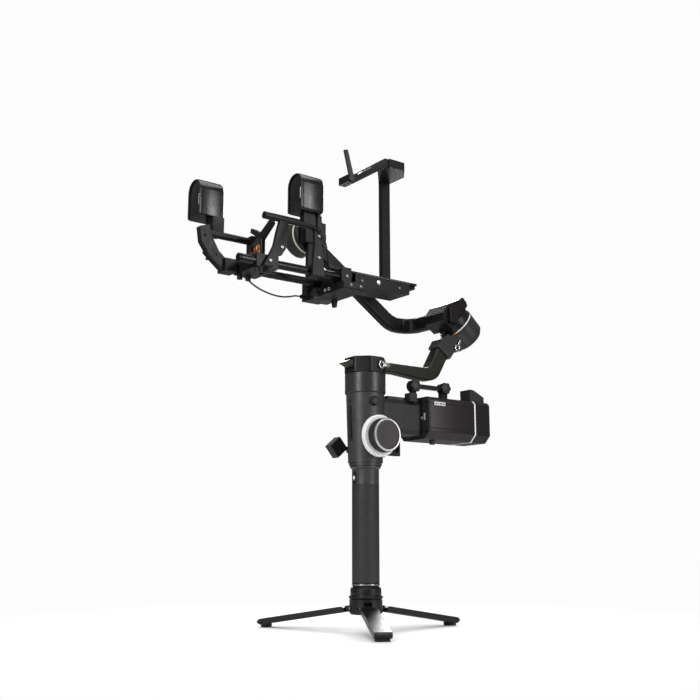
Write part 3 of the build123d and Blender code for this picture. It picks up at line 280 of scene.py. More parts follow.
def rounded(corners, radius, steps=5):
    """Closed outline with every corner replaced by a tangent arc: at a corner with half angle h the arc
    starts radius / tan(h) along each side and turns evenly about the centre on the bisector."""
    corners = np.asarray(corners, float)
    radii = np.broadcast_to(radius, len(corners))
    outline = []
    for before, here, after, r in zip(np.roll(corners, 1, 0), corners, np.roll(corners, -1, 0), radii):
        a, b = (before - here), (after - here)
        a, b = a / np.linalg.norm(a), b / np.linalg.norm(b)
        half = np.arccos(np.clip(a @ b, -1, 1)) / 2
        if r <= 0 or half > radians(89):
            outline.append(here[None])
            continue
        middle = (a + b) / np.linalg.norm(a + b)
        centre = here + middle * r / np.sin(half)
        start = here + a * r / np.tan(half) - centre
        end = here + b * r / np.tan(half) - centre
        t = np.linspace(0, 1, steps + 1)[:, None]
        whole = pi - 2 * half
        outline.append(centre + (np.sin((1 - t) * whole) * start + np.sin(t * whole) * end) / np.sin(whole))
    return np.concatenate(outline)


def circle(r, steps=72):
    t = np.arange(steps) * 2 * pi / steps
    return np.stack([r * np.cos(t), r * np.sin(t)], -1)


def outwards(outline):
    """Unit normals of a closed outline, pointing out of it."""
    along = np.roll(outline, -1, 0) - np.roll(outline, 1, 0)
    along /= np.linalg.norm(along, axis=1)[:, None]
    area = np.cross(outline, np.roll(outline, -1, 0)).sum()
    return np.stack([along[:, 1], -along[:, 0]], -1) * np.sign(area)


def slab(name, outline, origin, right, up, depth, edge, finish, body, sharp=35):
    """Outline carried along a depth, its rims rounded: at depth d the outline is drawn in by
    edge * (1 - sin t) where d = edge * (1 - cos t), the same at both ends, and closed by two flat faces."""
    out = outwards(outline)
    t = np.linspace(0, pi / 2, 4)
    first = np.stack([edge * (1 - np.sin(t)), edge * (1 - np.cos(t))], -1)
    rims = np.concatenate([first, np.stack([first[::-1, 0], abs(depth) - first[::-1, 1]], -1)])
    normal = np.cross(right, up) * np.sign(depth)
    flat = outline[None] - rims[:, None, :1] * out[None]
    points = origin + flat[..., :1] * right + flat[..., 1:] * up + rims[:, None, 1:] * normal
    count = len(outline)
    faces = quads(len(rims), count, False, True).tolist()
    faces += [list(range(count)), list(range((len(rims) - 1) * count, len(rims) * count))]
    return put(name, points.reshape(-1, 3), faces, finish, body, sharp)


def hoop(name, outline, section, origin, right, up, finish, body):
    """Closed section carried round an outline: each section point is (out, along), out of the outline
    and along its axis."""
    out = outwards(outline)
    section = np.asarray(section, float)
    flat = outline[:, None] + section[None, :, :1] * out[:, None]
    points = origin + flat[..., :1] * right + flat[..., 1:] * up + section[None, :, 1:] * np.cross(right, up)
    n, m = points.shape[:2]
    return put(name, points.reshape(-1, 3), quads(n, m, True, True).tolist(), finish, body)


def lathe(name, profile, origin, axis, finish, body, steps=96, ripple=0.0, waves=0, beyond=0.0):
    """Turned solid: profile points (r, h) from the axis and back to it; where r is beyond a radius it
    ripples by r + ripple * cos(waves * angle)."""
    axis = np.asarray(axis, float) / np.linalg.norm(axis)
    right = np.cross(axis, X if abs(axis[0]) < 0.7 else Y)
    right /= np.linalg.norm(right)
    up = np.cross(axis, right)
    t = np.arange(steps) * 2 * pi / steps
    profile = np.asarray(profile, float)
    r = profile[:, 0][None] + ripple * np.cos(waves * t)[:, None] * (profile[:, 0] > beyond)[None]
    points = origin + r[..., None] * (np.cos(t)[:, None, None] * right + np.sin(t)[:, None, None] * up)
    points = points + profile[:, 1][None, :, None] * axis
    return put(name, points.reshape(-1, 3), quads(steps, len(profile), True, False).tolist(), finish, body)


def turned(profile, radius, steps=4):
    """Profile of a solid of revolution with its outer corners rounded; the ends stay on the axis."""
    profile = np.asarray(profile, float)
    return rounded(profile, [0] + [radius] * (len(profile) - 2) + [0], steps)


def eased(node, width, angle=28):
    """Copy of a CAD node with its edges broken: doubles merged, flat faces joined, then a Bevel."""
    source = frame["nodes"][node]
    mesh = source.data.copy()
    shape = bmesh.new()
    shape.from_mesh(mesh)
    bmesh.ops.remove_doubles(shape, verts=shape.verts, dist=2e-6)
    bmesh.ops.dissolve_limit(shape, angle_limit=radians(0.6), verts=shape.verts, edges=shape.edges)
    shape.to_mesh(mesh)
    shape.free()
    mesh.shade_smooth()
    mesh.set_sharp_from_angle(angle=radians(angle))
    piece = bpy.data.objects.new(node + "_eased", mesh)
    bpy.context.scene.collection.objects.link(piece)
    bevel = piece.modifiers.new("broken_edges", "BEVEL")
    bevel.width = width * MM
    bevel.segments = 2
    bevel.limit_method = "ANGLE"
    bevel.angle_limit = radians(angle)
    bevel.harden_normals = True
    mesh.materials.clear()
    mesh.materials.append(finish_of[node])
    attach(piece, body_of(node))
    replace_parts(piece, node)


def screws(name, spots, normal, radius, body, finish=black_oxide):
    """Cap screws: for each spot a head one radius high with a six-sided socket two thirds as deep.
    Rings of 12 points: foot, rim, top, socket mouth and socket floor."""
    normal = np.asarray(normal, float)
    right = np.cross(normal, X if abs(normal[0]) < 0.7 else Y)
    right /= np.linalg.norm(right)
    up = np.cross(normal, right)
    t = np.arange(12) * 2 * pi / 12
    hexagon = np.where(np.arange(12) % 2 == 0, 1.0, cos(pi / 6))
    reach = [np.ones(12), np.ones(12), np.full(12, 0.86), 0.5 * hexagon, 0.5 * hexagon]
    height = [-0.3, 0.75, 0.95, 0.95, 0.3]
    ring = [radius * (s[:, None] * (np.cos(t)[:, None] * right + np.sin(t)[:, None] * up) + h * normal)
            for s, h in zip(reach, height)]
    one = np.concatenate(ring)
    faces = quads(5, 12, False, True).tolist() + [list(range(12)), list(range(48, 60))]
    points = np.concatenate([one + np.asarray(spot, float) for spot in spots])
    every = [[f + 60 * k for f in face] for k in range(len(spots)) for face in faces]
    return put(name, points, every, finish, body, sharp=25)


# ============================================================ CAD pieces with broken edges
for node in ("tripod_hub leg_1 leg_2 leg_3 foot_pad_1 foot_pad_2 foot_pad_3 base_clamp top_plate rod_clamp "
             "support_clamp near_frame far_frame tilt_arm roll_rotor handle_mount").split():
    eased(node, 0.8)
for node in ("pan_arm", "roll_arm"):
    eased(node, 2.4)
for node in ("pan_head roll_housing tilt_housing tilt_rotor pan_housing lens_support "
             "top_bracket box_mount box_covers phone_mount phone_jaw top_lever plate_lever mini_arm trigger "
             "start_button neck_collar").split():
    eased(node, 0.45)

# ============================================================ column
sleeve_low, sleeve_high = box_mm("grip_sleeve")
sleeve_r = sleeve_high[0]
tube_r = box_mm("grip_tube")[1][0]
column_foot = Z * sleeve_low[2]
grip = hoop("grip_rubber_sleeve", circle(tube_r, 96),
            rounded([(0, 0), (sleeve_r - tube_r, 0), (sleeve_r - tube_r, sleeve_high[2] - sleeve_low[2]),
                     (0, sleeve_high[2] - sleeve_low[2])], 0.6),
            column_foot, X, Y, grip_rubber, "base")
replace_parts(grip, "grip_sleeve")

collar_low, collar_high = box_mm("lower_collar")
flange_r = collar_high[0]
collar_height = collar_high[2] - collar_low[2]
collar_profile = [(0, 0), (flange_r - 2.2, 0), (flange_r - 1.6, 1.6), (flange_r, 2.6), (flange_r, 4.6),
                  (flange_r - 2.2, 6.4), (flange_r - 3.1, 8.5), (flange_r - 2.6, 11), (flange_r - 2.8, 18),
                  (flange_r - 4.8, 21.2), (sleeve_r - 1.2, 21.8), (sleeve_r - 1.2, 22.8), (sleeve_r, 23.4),
                  (sleeve_r, collar_height), (0, collar_height)]
collar = lathe("lower_collar_turned", turned(collar_profile, 0.45), Z * collar_low[2], Z, blasted_black,
               "base", steps=144, ripple=0.25, waves=36, beyond=flange_r - 0.5)
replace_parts(collar, "lower_collar")
hoop("collar_trim_ring", circle(sleeve_r, 96),
     rounded([(-1.0, 0), (0.35, 0), (0.35, 2.2), (-1.0, 2.2)], 0.25),
     Z * (collar_high[2] - 4.6), X, Y, turned_steel, "base")


def wrapped(name, outline, radius, turn, height, thick, finish, body):
    """Flat outline wrapped on the column: its x becomes the angle turn + x / radius, its y the height;
    the plate stands from 0.4 mm inside the surface to thick outside, with a 0.2 mm rounded rim."""
    out = outwards(outline)
    layers = np.array([(-0.4, 0.0), (thick - 0.2, 0.0), (thick - 0.06, 0.06), (thick, 0.2)])
    flat = outline[None] - layers[:, None, 1:] * out[None]
    angle = turn + flat[..., 0] / radius
    reach = radius + layers[:, None, 0] * np.ones_like(angle)
    points = np.stack([reach * np.cos(angle), reach * np.sin(angle), height + flat[..., 1]], -1)
    count = len(outline)
    faces = quads(len(layers), count, False, True).tolist()
    faces += [list(range(count)), list(range((len(layers) - 1) * count, len(layers) * count))]
    return put(name, points.reshape(-1, 3), faces, finish, body)


latch_mid = (box_mm("release_latch")[0] + box_mm("release_latch")[1]) / 2
drop = rounded([(-5.6, 0), (-2.2, 11), (2.2, 11), (5.6, 0), (2.2, -13), (-2.2, -13)], (2.5, 2, 2, 2.5, 2, 2))
wrapped("latch_bezel", drop, sleeve_r, pi, latch_mid[2], 0.8, gloss_pc, "base")
latch_face = box_mm("release_latch")[0][0]
slab("latch_mark", rounded([(0, 4.6), (3.6, 0), (0, -4.6), (-3.6, 0)], 0.4),
     np.array([latch_face + 0.2, 0, latch_mid[2]]), -Y, Z, 0.45, 0.1, white_abs, "release_latch")

# ============================================================ focus wheel
wheel, _ = pivot("focus_wheel_turn")
ring_low, ring_high = box_mm("wheel_ring")
ring_r, ring_t = ring_high[0], ring_high[1] - ring_low[1]
knob_low, knob_high = box_mm("focus_knob")
knob_r, knob_t = knob_high[0], knob_high[1] - knob_low[1]
hub = np.array([wheel[0], ring_high[1], wheel[2]])
ring = lathe("wheel_ring_moulded", turned([(0, 0), (ring_r - 1.2, 0), (ring_r, 2.2), (ring_r, ring_t - 1.6),
                                           (ring_r - 2.4, ring_t), (0, ring_t)], 1.0),
             hub, -Y, white_abs, "focus_wheel", steps=144)
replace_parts(ring, "wheel_ring")
knob = lathe("focus_knob_knurled", turned([(0, 0), (knob_r - 1.4, 0), (knob_r - 1.4, 2), (knob_r - 0.5, 3),
                                           (knob_r - 0.5, knob_t - 2), (knob_r - 1.6, knob_t), (0, knob_t)],
                                           0.5),
             hub - Y * ring_t, -Y, moulded_abs, "focus_wheel", steps=384, ripple=0.4, waves=64,
             beyond=knob_r - 0.8)
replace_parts(knob, "focus_knob")
cap_low, cap_high = box_mm("knob_cap")
cap_r, cap_face = cap_high[0], cap_low[1]
cap_t = knob_low[1] - cap_face
cap_foot = np.array([wheel[0], knob_low[1], wheel[2]])
cap = lathe("knob_cap_spun", turned([(0, -1), (cap_r - 1.5, -1), (cap_r - 1.5, cap_t - 0.5),
                                     (cap_r - 8, cap_t - 0.75), (0, cap_t - 1.0)], 0.3),
            cap_foot, -Y, spun_grey, "focus_wheel", steps=128)
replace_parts(cap, "knob_cap")
hoop("knob_bright_ring", circle(cap_r, 128),
     rounded([(-2.6, -0.5), (0.6, -0.5), (0.6, 1.7), (-0.6, cap_t), (-2.6, cap_t - 0.2)], 0.3),
     cap_foot, X, Z, silver_rim, "focus_wheel")

# ============================================================ control body
start_low, start_high = box_mm("start_button")
start_mid = (start_low + start_high) / 2
hoop("start_button_bezel", circle(7.6, 48), rounded([(0, -3), (1.5, -3), (1.5, 1.0), (0, 1.0)], 0.4),
     np.array([start_mid[0], start_low[1] + 3.2, start_mid[2]]), X, Z, gloss_pc, "base")
slab("start_button_dot", circle(1.7, 24), np.array([start_mid[0], start_low[1] + 0.1, start_mid[2]]),
     X, Z, 0.35, 0.1, spun_grey, "start_button")
body_r = box_mm("pan_housing")[1][0]
top_shell = box_mm("body_shell_near")[1][2]
hoop("body_top_seam", circle(body_r - 1.4, 120), rounded([(-2, 0), (0, 0), (0, 1.1), (-2, 1.1)], 0.3),
     Z * (top_shell - 0.55), X, Y, pad_rubber, "base")
tab = rounded([(-3, -2.6), (3, -2.6), (2.2, 2.6), (-2.2, 2.6)], 0.8)
wrapped("side_release_tab", tab, 34.2, radians(-58), 308.0, 2.6, moulded_abs, "base")
wrapped("lens_side_slot", rounded([(-3.2, -9), (3.2, -9), (3.2, 9), (-3.2, 9)], 1.2), 34.9, pi, 413.0, 0.5,
        gloss_pc, "base")

# ============================================================ motors
roll_mid, roll_axis = pivot("roll")
roll_up = np.cross(roll_axis, Y)
roll_r = 37.8
ROLL_LID_AT = 47.0  # along the roll axis
ROLL_VENTS_AT = 19.0
ring_section = rounded([(-2.2, 0.4), (0.30, 0.4), (0.30, 3.0), (-2.2, 3.0)], 0.3)
hoop("roll_ring_white", circle(roll_r, 144), ring_section, roll_mid, Y, roll_up, white_abs, "pan_arm")
arc = np.linspace(radians(232), radians(262), 16)
patch = np.stack([roll_r * np.cos(arc), roll_r * np.sin(arc)], -1)
copper_points = [(-1.5, 0.3), (0.42, 0.3), (0.42, 3.1), (-1.5, 3.1)]
side = np.stack([np.cos(arc), np.sin(arc)], -1)
copper_grid = (patch[:, None] + np.array(copper_points)[None, :, :1] * side[:, None])
copper_xyz = (roll_mid + copper_grid[..., :1] * Y + copper_grid[..., 1:] * roll_up
              + np.array(copper_points)[None, :, 1:] * roll_axis)
copper_faces = quads(16, 4, False, True).tolist() + [[0, 1, 2, 3], [60, 61, 62, 63]]
put("roll_ring_copper", copper_xyz.reshape(-1, 3), copper_faces, copper_dye, "pan_arm")
hoop("roll_can_groove", circle(roll_r, 144), rounded([(-2, 6), (0.1, 6), (0.1, 7.2), (-2, 7.2)], 0.25),
     roll_mid, Y, roll_up, pad_rubber, "pan_arm")

tilt_mid, _ = pivot("tilt")
can_low, can_high = box_mm("tilt_housing")
can_r = (can_high[0] - can_low[0]) / 2
rotor_r = can_r - 2
ring_foot = np.array([tilt_mid[0], can_low[1] - 0.5, tilt_mid[2]])
hoop("tilt_ring_cream", circle(rotor_r, 144),
     rounded([(-1.5, 0.2), (1.7, 0.2), (1.7, 3.4), (-1.5, 3.4)], 0.4),
     ring_foot, X, Z, cream_acrylic, "tilt_head")
hoop("tilt_can_groove", circle(can_r, 144), rounded([(-2, 0), (0.1, 0), (0.1, 1.2), (-2, 1.2)], 0.25),
     np.array([tilt_mid[0], can_low[1] + 9, tilt_mid[2]]), X, Z, pad_rubber, "roll_arm")
lathe("tilt_can_lid", turned([(0, -1), (can_r - 7, -1), (can_r - 7, 0.7), (can_r - 11, 0.9),
                              (can_r - 12, 0.4), (0, 0.4)], 0.3),
      np.array([tilt_mid[0], can_high[1], tilt_mid[2]]), Y, spun_grey, "roll_arm", steps=120)
lathe("roll_can_lid", turned([(0, -1), (21, -1), (21, 0.7), (18, 0.9), (17, 0.4), (0, 0.4)], 0.3),
      roll_mid + roll_axis * ROLL_LID_AT, roll_axis, spun_grey, "pan_arm", steps=120)
for number, shift in enumerate((-9.0, 0.0, 9.0)):
    vent_foot = roll_mid + roll_axis * ROLL_VENTS_AT + Y * shift - roll_up * (roll_r - 1.2)
    slab(f"roll_vent_{number + 1}", rounded([(-2.4, -8), (2.4, -8), (2.4, 8), (-2.4, 8)], 1.5), vent_foot,
         Y, roll_axis, -2.2, 0.5, pad_rubber, "pan_arm")


def clamp_lever(name, joint, node, handle, body):
    """Die-cast lever: a ring with a dark screw in it and a flat handle that widens a little before its
    narrow tip. The handle's angle runs from +X towards +Z."""
    low_corner, _ = box_mm(node)
    centre, _ = pivot(joint)
    face = low_corner[1] + 5.3
    seat = np.array([centre[0], face, centre[2]])
    reach = np.array([cos(handle), sin(handle)])
    across = np.array([-reach[1], reach[0]])
    corners = [reach * 4 + across * 3.0, reach * 4 - across * 3.0, reach * 17 - across * 3.4,
               reach * 20 - across * 1.5, reach * 20 + across * 1.5, reach * 17 + across * 3.4]
    made = hoop(name + "_ring", circle(6.2, 64), rounded([(-2.9, 0), (1.2, 0), (1.2, 5), (-2.9, 5)], 1.1),
                seat, X, Z, chrome, body)
    slab(name + "_handle", rounded(np.array(corners), 1.4), seat - Y * 1.2, X, Z, 3.2, 1.0, chrome, body)
    lathe(name + "_screw", turned([(0, 0), (3.3, 0), (3.3, 3.6), (1.8, 3.9), (1.8, 3.0), (0, 3.0)], 0.3),
          seat, -Y, black_oxide, body, steps=48)
    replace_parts(made, node)


clamp_lever("pan_lever", "pan_lever_turn", "pan_lever", 0.0, "pan_lever")
clamp_lever("roll_lever", "roll_lever_turn", "roll_lever", radians(62), "roll_lever")

# ============================================================ lens motors
servo_low, servo_high = box_mm("lens_motors")
gear_mid, _ = pivot("drive_gear_turn")
servo_w, servo_h, servo_l = 46.0, 72.0, 48.0
near_face = np.array([servo_high[0] - servo_l, servo_low[1] + servo_w / 2, servo_high[2] - servo_h / 2])
far_face = np.array([servo_low[0], servo_high[1] - servo_w / 2, servo_low[2] + servo_h / 2])


def lens_motor(side, front):
    """Shell with an arched top: a raised arch frames a sunken front, and a seam runs round behind it."""
    half = servo_w / 2
    case = rounded([(-half, -servo_h / 2), (half, -servo_h / 2), (half, servo_h / 2), (-half, servo_h / 2)],
                   (6, 6, half - 1, half - 1), 12)
    made = slab(f"lens_motor_{side}_case", case, front + X * 2.0, Y, Z, servo_l - 2.0, 2.2, gloss_pc,
                "camera_plate")
    hoop(f"lens_motor_{side}_arch", case * 0.985, rounded([(-3.4, 0), (0, 0), (0, 4), (-3.4, 4)], 0.8), front,
         Y, Z, gloss_pc, "camera_plate")
    hoop(f"lens_motor_{side}_seam", case, rounded([(-1.5, 0), (0.12, 0), (0.12, -0.8), (-1.5, -0.8)], 0.1),
         front + X * 14, Y, Z, pad_rubber, "camera_plate")
    # Painted highlight: this thin white strip near the front edge stands in for the reflection that the bezel
    # edge shows; it is not a lamp.
    slab(f"lens_motor_{side}_light", rounded([(-0.6, -14), (0.6, -14), (0.6, 6), (-0.6, 6)], 0.5),
         front + X * 2.2 - Y * (half - 6.5), Y, Z, -0.8, 0.2, white_abs, "camera_plate")
    return made


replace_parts(lens_motor("near", near_face), "lens_motors")
lens_motor("far", far_face)

gear_low, gear_high = box_mm("drive_gear")
gear_r = (gear_high[1] - gear_low[1]) / 2
gear_start = gear_high[0] - 10.0
teeth = 38
t = np.arange(teeth * 8) * 2 * pi / (teeth * 8)
tooth = np.clip(1.6 * np.cos(teeth * t), -1, 1)
gear_outline = (gear_r - 0.8 + 0.8 * tooth)[:, None] * np.stack([np.cos(t), np.sin(t)], -1)
gear_foot = np.array([gear_start, gear_mid[1], gear_mid[2]])
gear = slab("drive_gear_toothed", gear_outline, gear_foot, Y, Z, 10.0, 0.3, moulded_abs, "drive_gear",
            sharp=30)
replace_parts(gear, "drive_gear")
lathe("drive_gear_hub", turned([(0, 9), (6, 9), (6, 10.8), (0, 10.8)], 0.3), gear_foot, X, turned_steel,
      "drive_gear", steps=48)

# ============================================================ power box
case_low, case_high = box_mm("battery_box")
cover_low, cover_high = box_mm("box_covers")
half_w = case_high[1]
low, high = case_low[2], case_high[2]
section = rounded([(-half_w + 14, low), (half_w - 14, low), (half_w, low + 14), (half_w, high - 6),
                   (half_w - 6, high), (-half_w + 6, high), (-half_w, high - 6), (-half_w, low + 14)], 2.5, 6)
dense = np.concatenate([np.linspace(a, b, 2 + int(np.linalg.norm(b - a) / 0.5), endpoint=False)
                        for a, b in zip(section, np.roll(section, -1, 0))])
# Two shallow lines mark the side panel: each is a 0.5 mm deep bell 1.6 mm wide.
line_heights = np.array([low + 20.0, high - 13.0])
bells = np.exp(-((dense[:, 1, None] - line_heights) / 0.8) ** 2).sum(1)
panelled = dense - (0.5 * bells * (np.abs(dense[:, 0]) > half_w - 1))[:, None] * outwards(dense)
case_piece = slab("battery_box_extruded", panelled, np.array([case_low[0], 0, 0]), Y, Z,
                  case_high[0] - case_low[0], 0.1, brushed_box, "base", sharp=50)
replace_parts(case_piece, "battery_box")
hoop("box_white_band", section, rounded([(-0.8, 0), (0.4, 0), (0.4, 3.2), (-0.8, 3.2)], 0.3),
     np.array([cover_high[0] - 43, 0, 0]), Y, Z, white_abs, "base")
slab("box_label_plate", rounded([(0, 0), (27, 0), (27, 6.5), (0, 6.5)], 0.8),
     np.array([cover_low[0] + 14, -half_w + 0.25, high - 16]), X, Z, 0.55, 0.15, white_abs, "base")
for number, (start, width) in enumerate(((2.0, 5.0), (8.5, 2.4), (12.5, 7.0), (21.0, 4.0))):
    slab(f"box_label_bar_{number + 1}", rounded([(start, 2), (start + width, 2), (start + width, 4.6),
                                                 (start, 4.6)], 0.4),
         np.array([cover_low[0] + 14, -half_w - 0.22, high - 16]), X, Z, 0.15, 0.05, moulded_abs, "base")
slab("box_latch_plate", rounded([(-8, -5), (8, -5), (8, 5), (-8, 5)], 2.5),
     np.array([cover_low[0] + 0.3, -26, high - 38]), -Y, Z, 1.2, 0.4, gloss_pc, "base")
slab("box_latch_slider", rounded([(-2.6, -7), (2.6, -7), (2.6, 7), (-2.6, 7)], 1.6),
     np.array([cover_low[0] - 0.7, -33, high - 38]), -Y, Z, 1.6, 0.5, silver_rim, "base")
slab("box_latch_pin", circle(2.6, 32), np.array([cover_low[0] - 0.7, -25, high - 40]), -Y, Z, 1.2, 0.4,
     silver_rim, "base")
slab("box_under_tab", rounded([(-5, -3), (5, -3), (5, 3), (-5, 3)], 1.5),
     np.array([145.0, -20, low + 0.3]), X, Y, -9.0, 0.6, moulded_abs, "base")

# ============================================================ mini arm and knobs
knob_mid, _ = pivot("arm_knob_turn")
fixed_knob = knob_mid + X * 76 + Z * 2
knob_reach = box_mm("arm_knob")[1][0] - knob_mid[0]


def star_knob(name, centre, node, body):
    """Six-lobed knob: an outline of radius r - 0.9 + 0.9 cos(6 t) drawn in at its rims."""
    t = np.arange(96) * 2 * pi / 96
    lobes = (knob_reach - 0.9 + 0.9 * np.cos(6 * t))[:, None] * np.stack([np.cos(t), np.sin(t)], -1)
    made = slab(name, lobes, centre, X, Z, 7.0, 1.6, moulded_abs, body)
    slab(name + "_cap", circle(5.2, 48), centre - Y * 6.8, X, Z, 0.6, 0.2, spun_grey, body)
    if node:
        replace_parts(made, node)
    return made


arm_face = box_mm("mini_arm")[0][1]
star_knob("arm_knob_lobed", np.array([knob_mid[0], arm_face - 0.3, knob_mid[2]]), "arm_knob", "arm_knob")
star_knob("elbow_knob_lobed", np.array([fixed_knob[0], arm_face + 0.05, fixed_knob[2]]), None, "base")

# ============================================================ clamp knob and handle of the far frame
clamp_mid = np.array([-225.0, 24.0, 665.0])
lathe("clamp_knob_copper", turned([(0, 0), (7.6, 0), (7.6, 3), (6.8, 3.6), (6.8, 4.6), (8.2, 5.2),
                                   (8.2, 11.5), (7.2, 12.6), (3, 12.6), (2.4, 12.1), (0, 12.1)], 0.4),
      clamp_mid - Y * 0.5, -Y, copper_dye, "camera_plate", steps=144, ripple=0.25, waves=24, beyond=7.4)
grip_at = np.array([-318.0, 27.0, 636.0])
slant = np.array([0.78, 0.0, -0.62])
slant /= np.linalg.norm(slant)
lathe("frame_handle_bar", turned([(0, -15), (3.2, -15), (3.8, -12), (3.8, 12), (3.2, 15), (0, 15)], 0.8),
      grip_at, slant, black_oxide, "camera_plate", steps=40)
lathe("frame_handle_neck", turned([(0, -2), (2.4, -2), (2.4, 10), (0, 10)], 0.2), grip_at, Y, black_oxide,
      "camera_plate", steps=32)

# ============================================================ rods and plates
rod_low, rod_high = box_mm("rods")
rod_r = 7.5
rod_z = (rod_low[2] + rod_high[2]) / 2
for number, (rod_x, rod_y) in enumerate(((rod_low[0], rod_low[1] + rod_r),
                                         (rod_low[0] + 13, rod_high[1] - rod_r))):
    lathe(f"rod_end_{number + 1}", turned([(0, 0.2), (rod_r - 2.6, 0.2), (rod_r - 1.9, -0.6),
                                           (rod_r - 0.8, -0.6),
                                           (rod_r + 0.25, 0.6), (rod_r + 0.25, 5), (0, 5)], 0.3),
          np.array([rod_x, rod_y, rod_z]), X, black_oxide, "camera_plate", steps=64)

plate_low, plate_high = box_mm("top_plate")
deck = plate_high[2]
camera_screw = turned([(0, -3), (3.1, -3), (3.1, 0), (5.6, 0), (5.6, 2.4), (4.8, 3.2), (0, 3.2)], 0.3)
for name, screw_x in (("camera_screw", 46.0), ("camera_screw_rear", 4.0)):
    lathe(name, camera_screw, np.array([screw_x, 0.0, deck - 4.6]), Z, chrome, "camera_plate", steps=48)
for side_y in (-19.0, 19.0):
    slab(f"deck_pad_{'near' if side_y < 0 else 'far'}",
         rounded([(-46, -4), (88, -4), (88, 4), (-46, 4)], 1.2),
         np.array([6.0, side_y, deck - 0.4]), X, Y, 0.9, 0.3, pad_rubber, "camera_plate")
tick_x = np.arange(-40, 90, 5.0)
tick_long = np.where(np.arange(len(tick_x)) % 2 == 0, 2.6, 1.5)
tick_faces, tick_points = [], []
for place_x, long in zip(tick_x, tick_long):
    at = len(tick_points)
    for dx, dz in ((-0.2, 0), (0.2, 0), (0.2, long), (-0.2, long)):
        tick_points += [(place_x + dx, plate_low[1] - 0.06, deck - 3.9 + dz),
                        (place_x + dx, plate_low[1] + 0.2, deck - 3.9 + dz)]
    tick_faces += [[at + k for k in face] for face in ((0, 2, 4, 6), (1, 3, 5, 7), (0, 1, 3, 2), (2, 3, 5, 4),
                                                      (4, 5, 7, 6), (6, 7, 1, 0))]
put("deck_scale_ticks", tick_points, tick_faces, white_abs, "camera_plate")

# ============================================================ screws
clamp_low, clamp_high = box_mm("rod_clamp")
screws("rod_clamp_screws", [(clamp_low[0], y, clamp_high[2] - 6) for y in (-14, 14)], -X, 2.4, "camera_plate")
screws("rod_clamp_side_screws", [((clamp_low[0] + clamp_high[0]) / 2, clamp_low[1], rod_z)], -Y, 2.8,
       "camera_plate", turned_steel)
sup_low, sup_high = box_mm("support_clamp")
support_spots = [(x, y, rod_z + 11.5) for x in (sup_low[0] + 7, sup_high[0] - 7) for y in (-19, 19)]
screws("support_screws", support_spots, Z, 2.4, "camera_plate")
POST_FACE, FAR_FACE = -47, 26
post_spots = [(x, POST_FACE, z) for x, z in ((-139, 650), (-139, 690), (-217, 655), (-240, 627))]
screws("near_post_screws", post_spots, -Y, 2.6, "camera_plate", turned_steel)
far_spots = [(x, FAR_FACE, z) for x, z in ((-326, 676), (-303, 645), (-283, 628))]
screws("far_frame_screws", far_spots, -Y, 2.6, "camera_plate")
base_low, base_high = box_mm("base_clamp")
screws("base_clamp_screws", [(x, base_low[1], base_low[2] + 13) for x in (-30, 10, 60)], -Y, 2.4, "tilt_arm",
       turned_steel)
bar_low = box_mm("tilt_arm")[0]
BAR_MID_Z = 609.0
bar_face = bar_low[0] + 10.0
screws("cross_bar_screws", [(-74, bar_low[1], BAR_MID_Z), (-52, bar_low[1], BAR_MID_Z)], -Y, 2.4,
       "tilt_arm", turned_steel)
box_face = cover_low[0]
screws("box_front_screws", [(box_face, y, z) for y in (-37, 37) for z in (low + 14, high - 10)], -X, 2.2,
       "base")
screws("box_rear_screws", [(cover_high[0], y, z) for y in (-33, 33) for z in (low + 16, high - 10)], X, 2.2,
       "base")
screws("bracket_screws", [(96, 36, 650.0), (96, 44, 650.0)], Z, 2.2, "camera_plate")
screws("tilt_can_screws", [(tilt_mid[0] + 22 * cos(a), can_high[1] + 0.1, tilt_mid[2] + 22 * sin(a))
                           for a in np.arange(6) * pi / 3], Y, 1.8, "roll_arm")

lathe("plate_side_screw", turned([(0, -1), (4.6, -1), (4.6, 1.6), (3.4, 3.4), (0, 3.9)], 0.5),
      np.array([9.0, base_low[1], base_high[2] - 8.0]), -Y, silver_rim, "tilt_arm", steps=48)
screws("bar_front_screws", [(bar_face, y, BAR_MID_Z) for y in (-8.0, 4.0)], -X, 3.0, "tilt_arm", silver_rim)
lathe("bar_knob_cap", turned([(0, -1), (8.2, -1), (8.2, 0.6), (6.6, 1.2), (3.0, 1.0), (0, 1.0)], 0.3),
      np.array([bar_face - 9.0, 29.0, BAR_MID_Z]), -X, moulded_abs, "tilt_arm", steps=96, ripple=0.4,
      waves=18, beyond=7.8)

# ============================================================ top clamp
slab("bracket_bright_strip", rounded([(-32, -1.2), (6, -1.2), (6, 1.2), (-32, 1.2)], 0.8),
     np.array([0.0, -14.1, 862.0]), np.array([0.839, 0, 0.545]), np.array([-0.545, 0, 0.839]), 0.5, 0.15,
     chrome, "camera_plate")

# ============================================================ phone holder pads
jaw_high = box_mm("phone_mount")[1]
slab("phone_rear_pad", rounded([(-10, -13), (10, -13), (10, 13), (-10, 13)], 2),
     np.array([jaw_high[0] - 8.0, jaw_high[1] - 14, 338.0]), Y, Z, -1.6, 0.5, pad_rubber, "base")

# ============================================================ cables
CABLE_D = 0.0032
FRONT_ROUTE = [(-0.098, 0.072, 0.610), (-0.109, 0.072, 0.610), (-0.124, 0.0695, 0.605),
               (-0.142, 0.066, 0.601), (-0.162, 0.062, 0.600), (-0.182, 0.058, 0.6015),
               (-0.201, 0.054, 0.605), (-0.218, 0.0505, 0.611), (-0.232, 0.0475, 0.618),
               (-0.245, 0.046, 0.622), (-0.257, 0.046, 0.622)]
REAR_ROUTE = [(-0.144, -0.055, 0.723), (-0.144, -0.055, 0.708), (-0.139, -0.054, 0.697),
              (-0.130, -0.051, 0.685), (-0.122, -0.047, 0.672), (-0.117, -0.042, 0.660),
              (-0.112, -0.037, 0.649), (-0.104, -0.034, 0.641), (-0.094, -0.034, 0.641)]


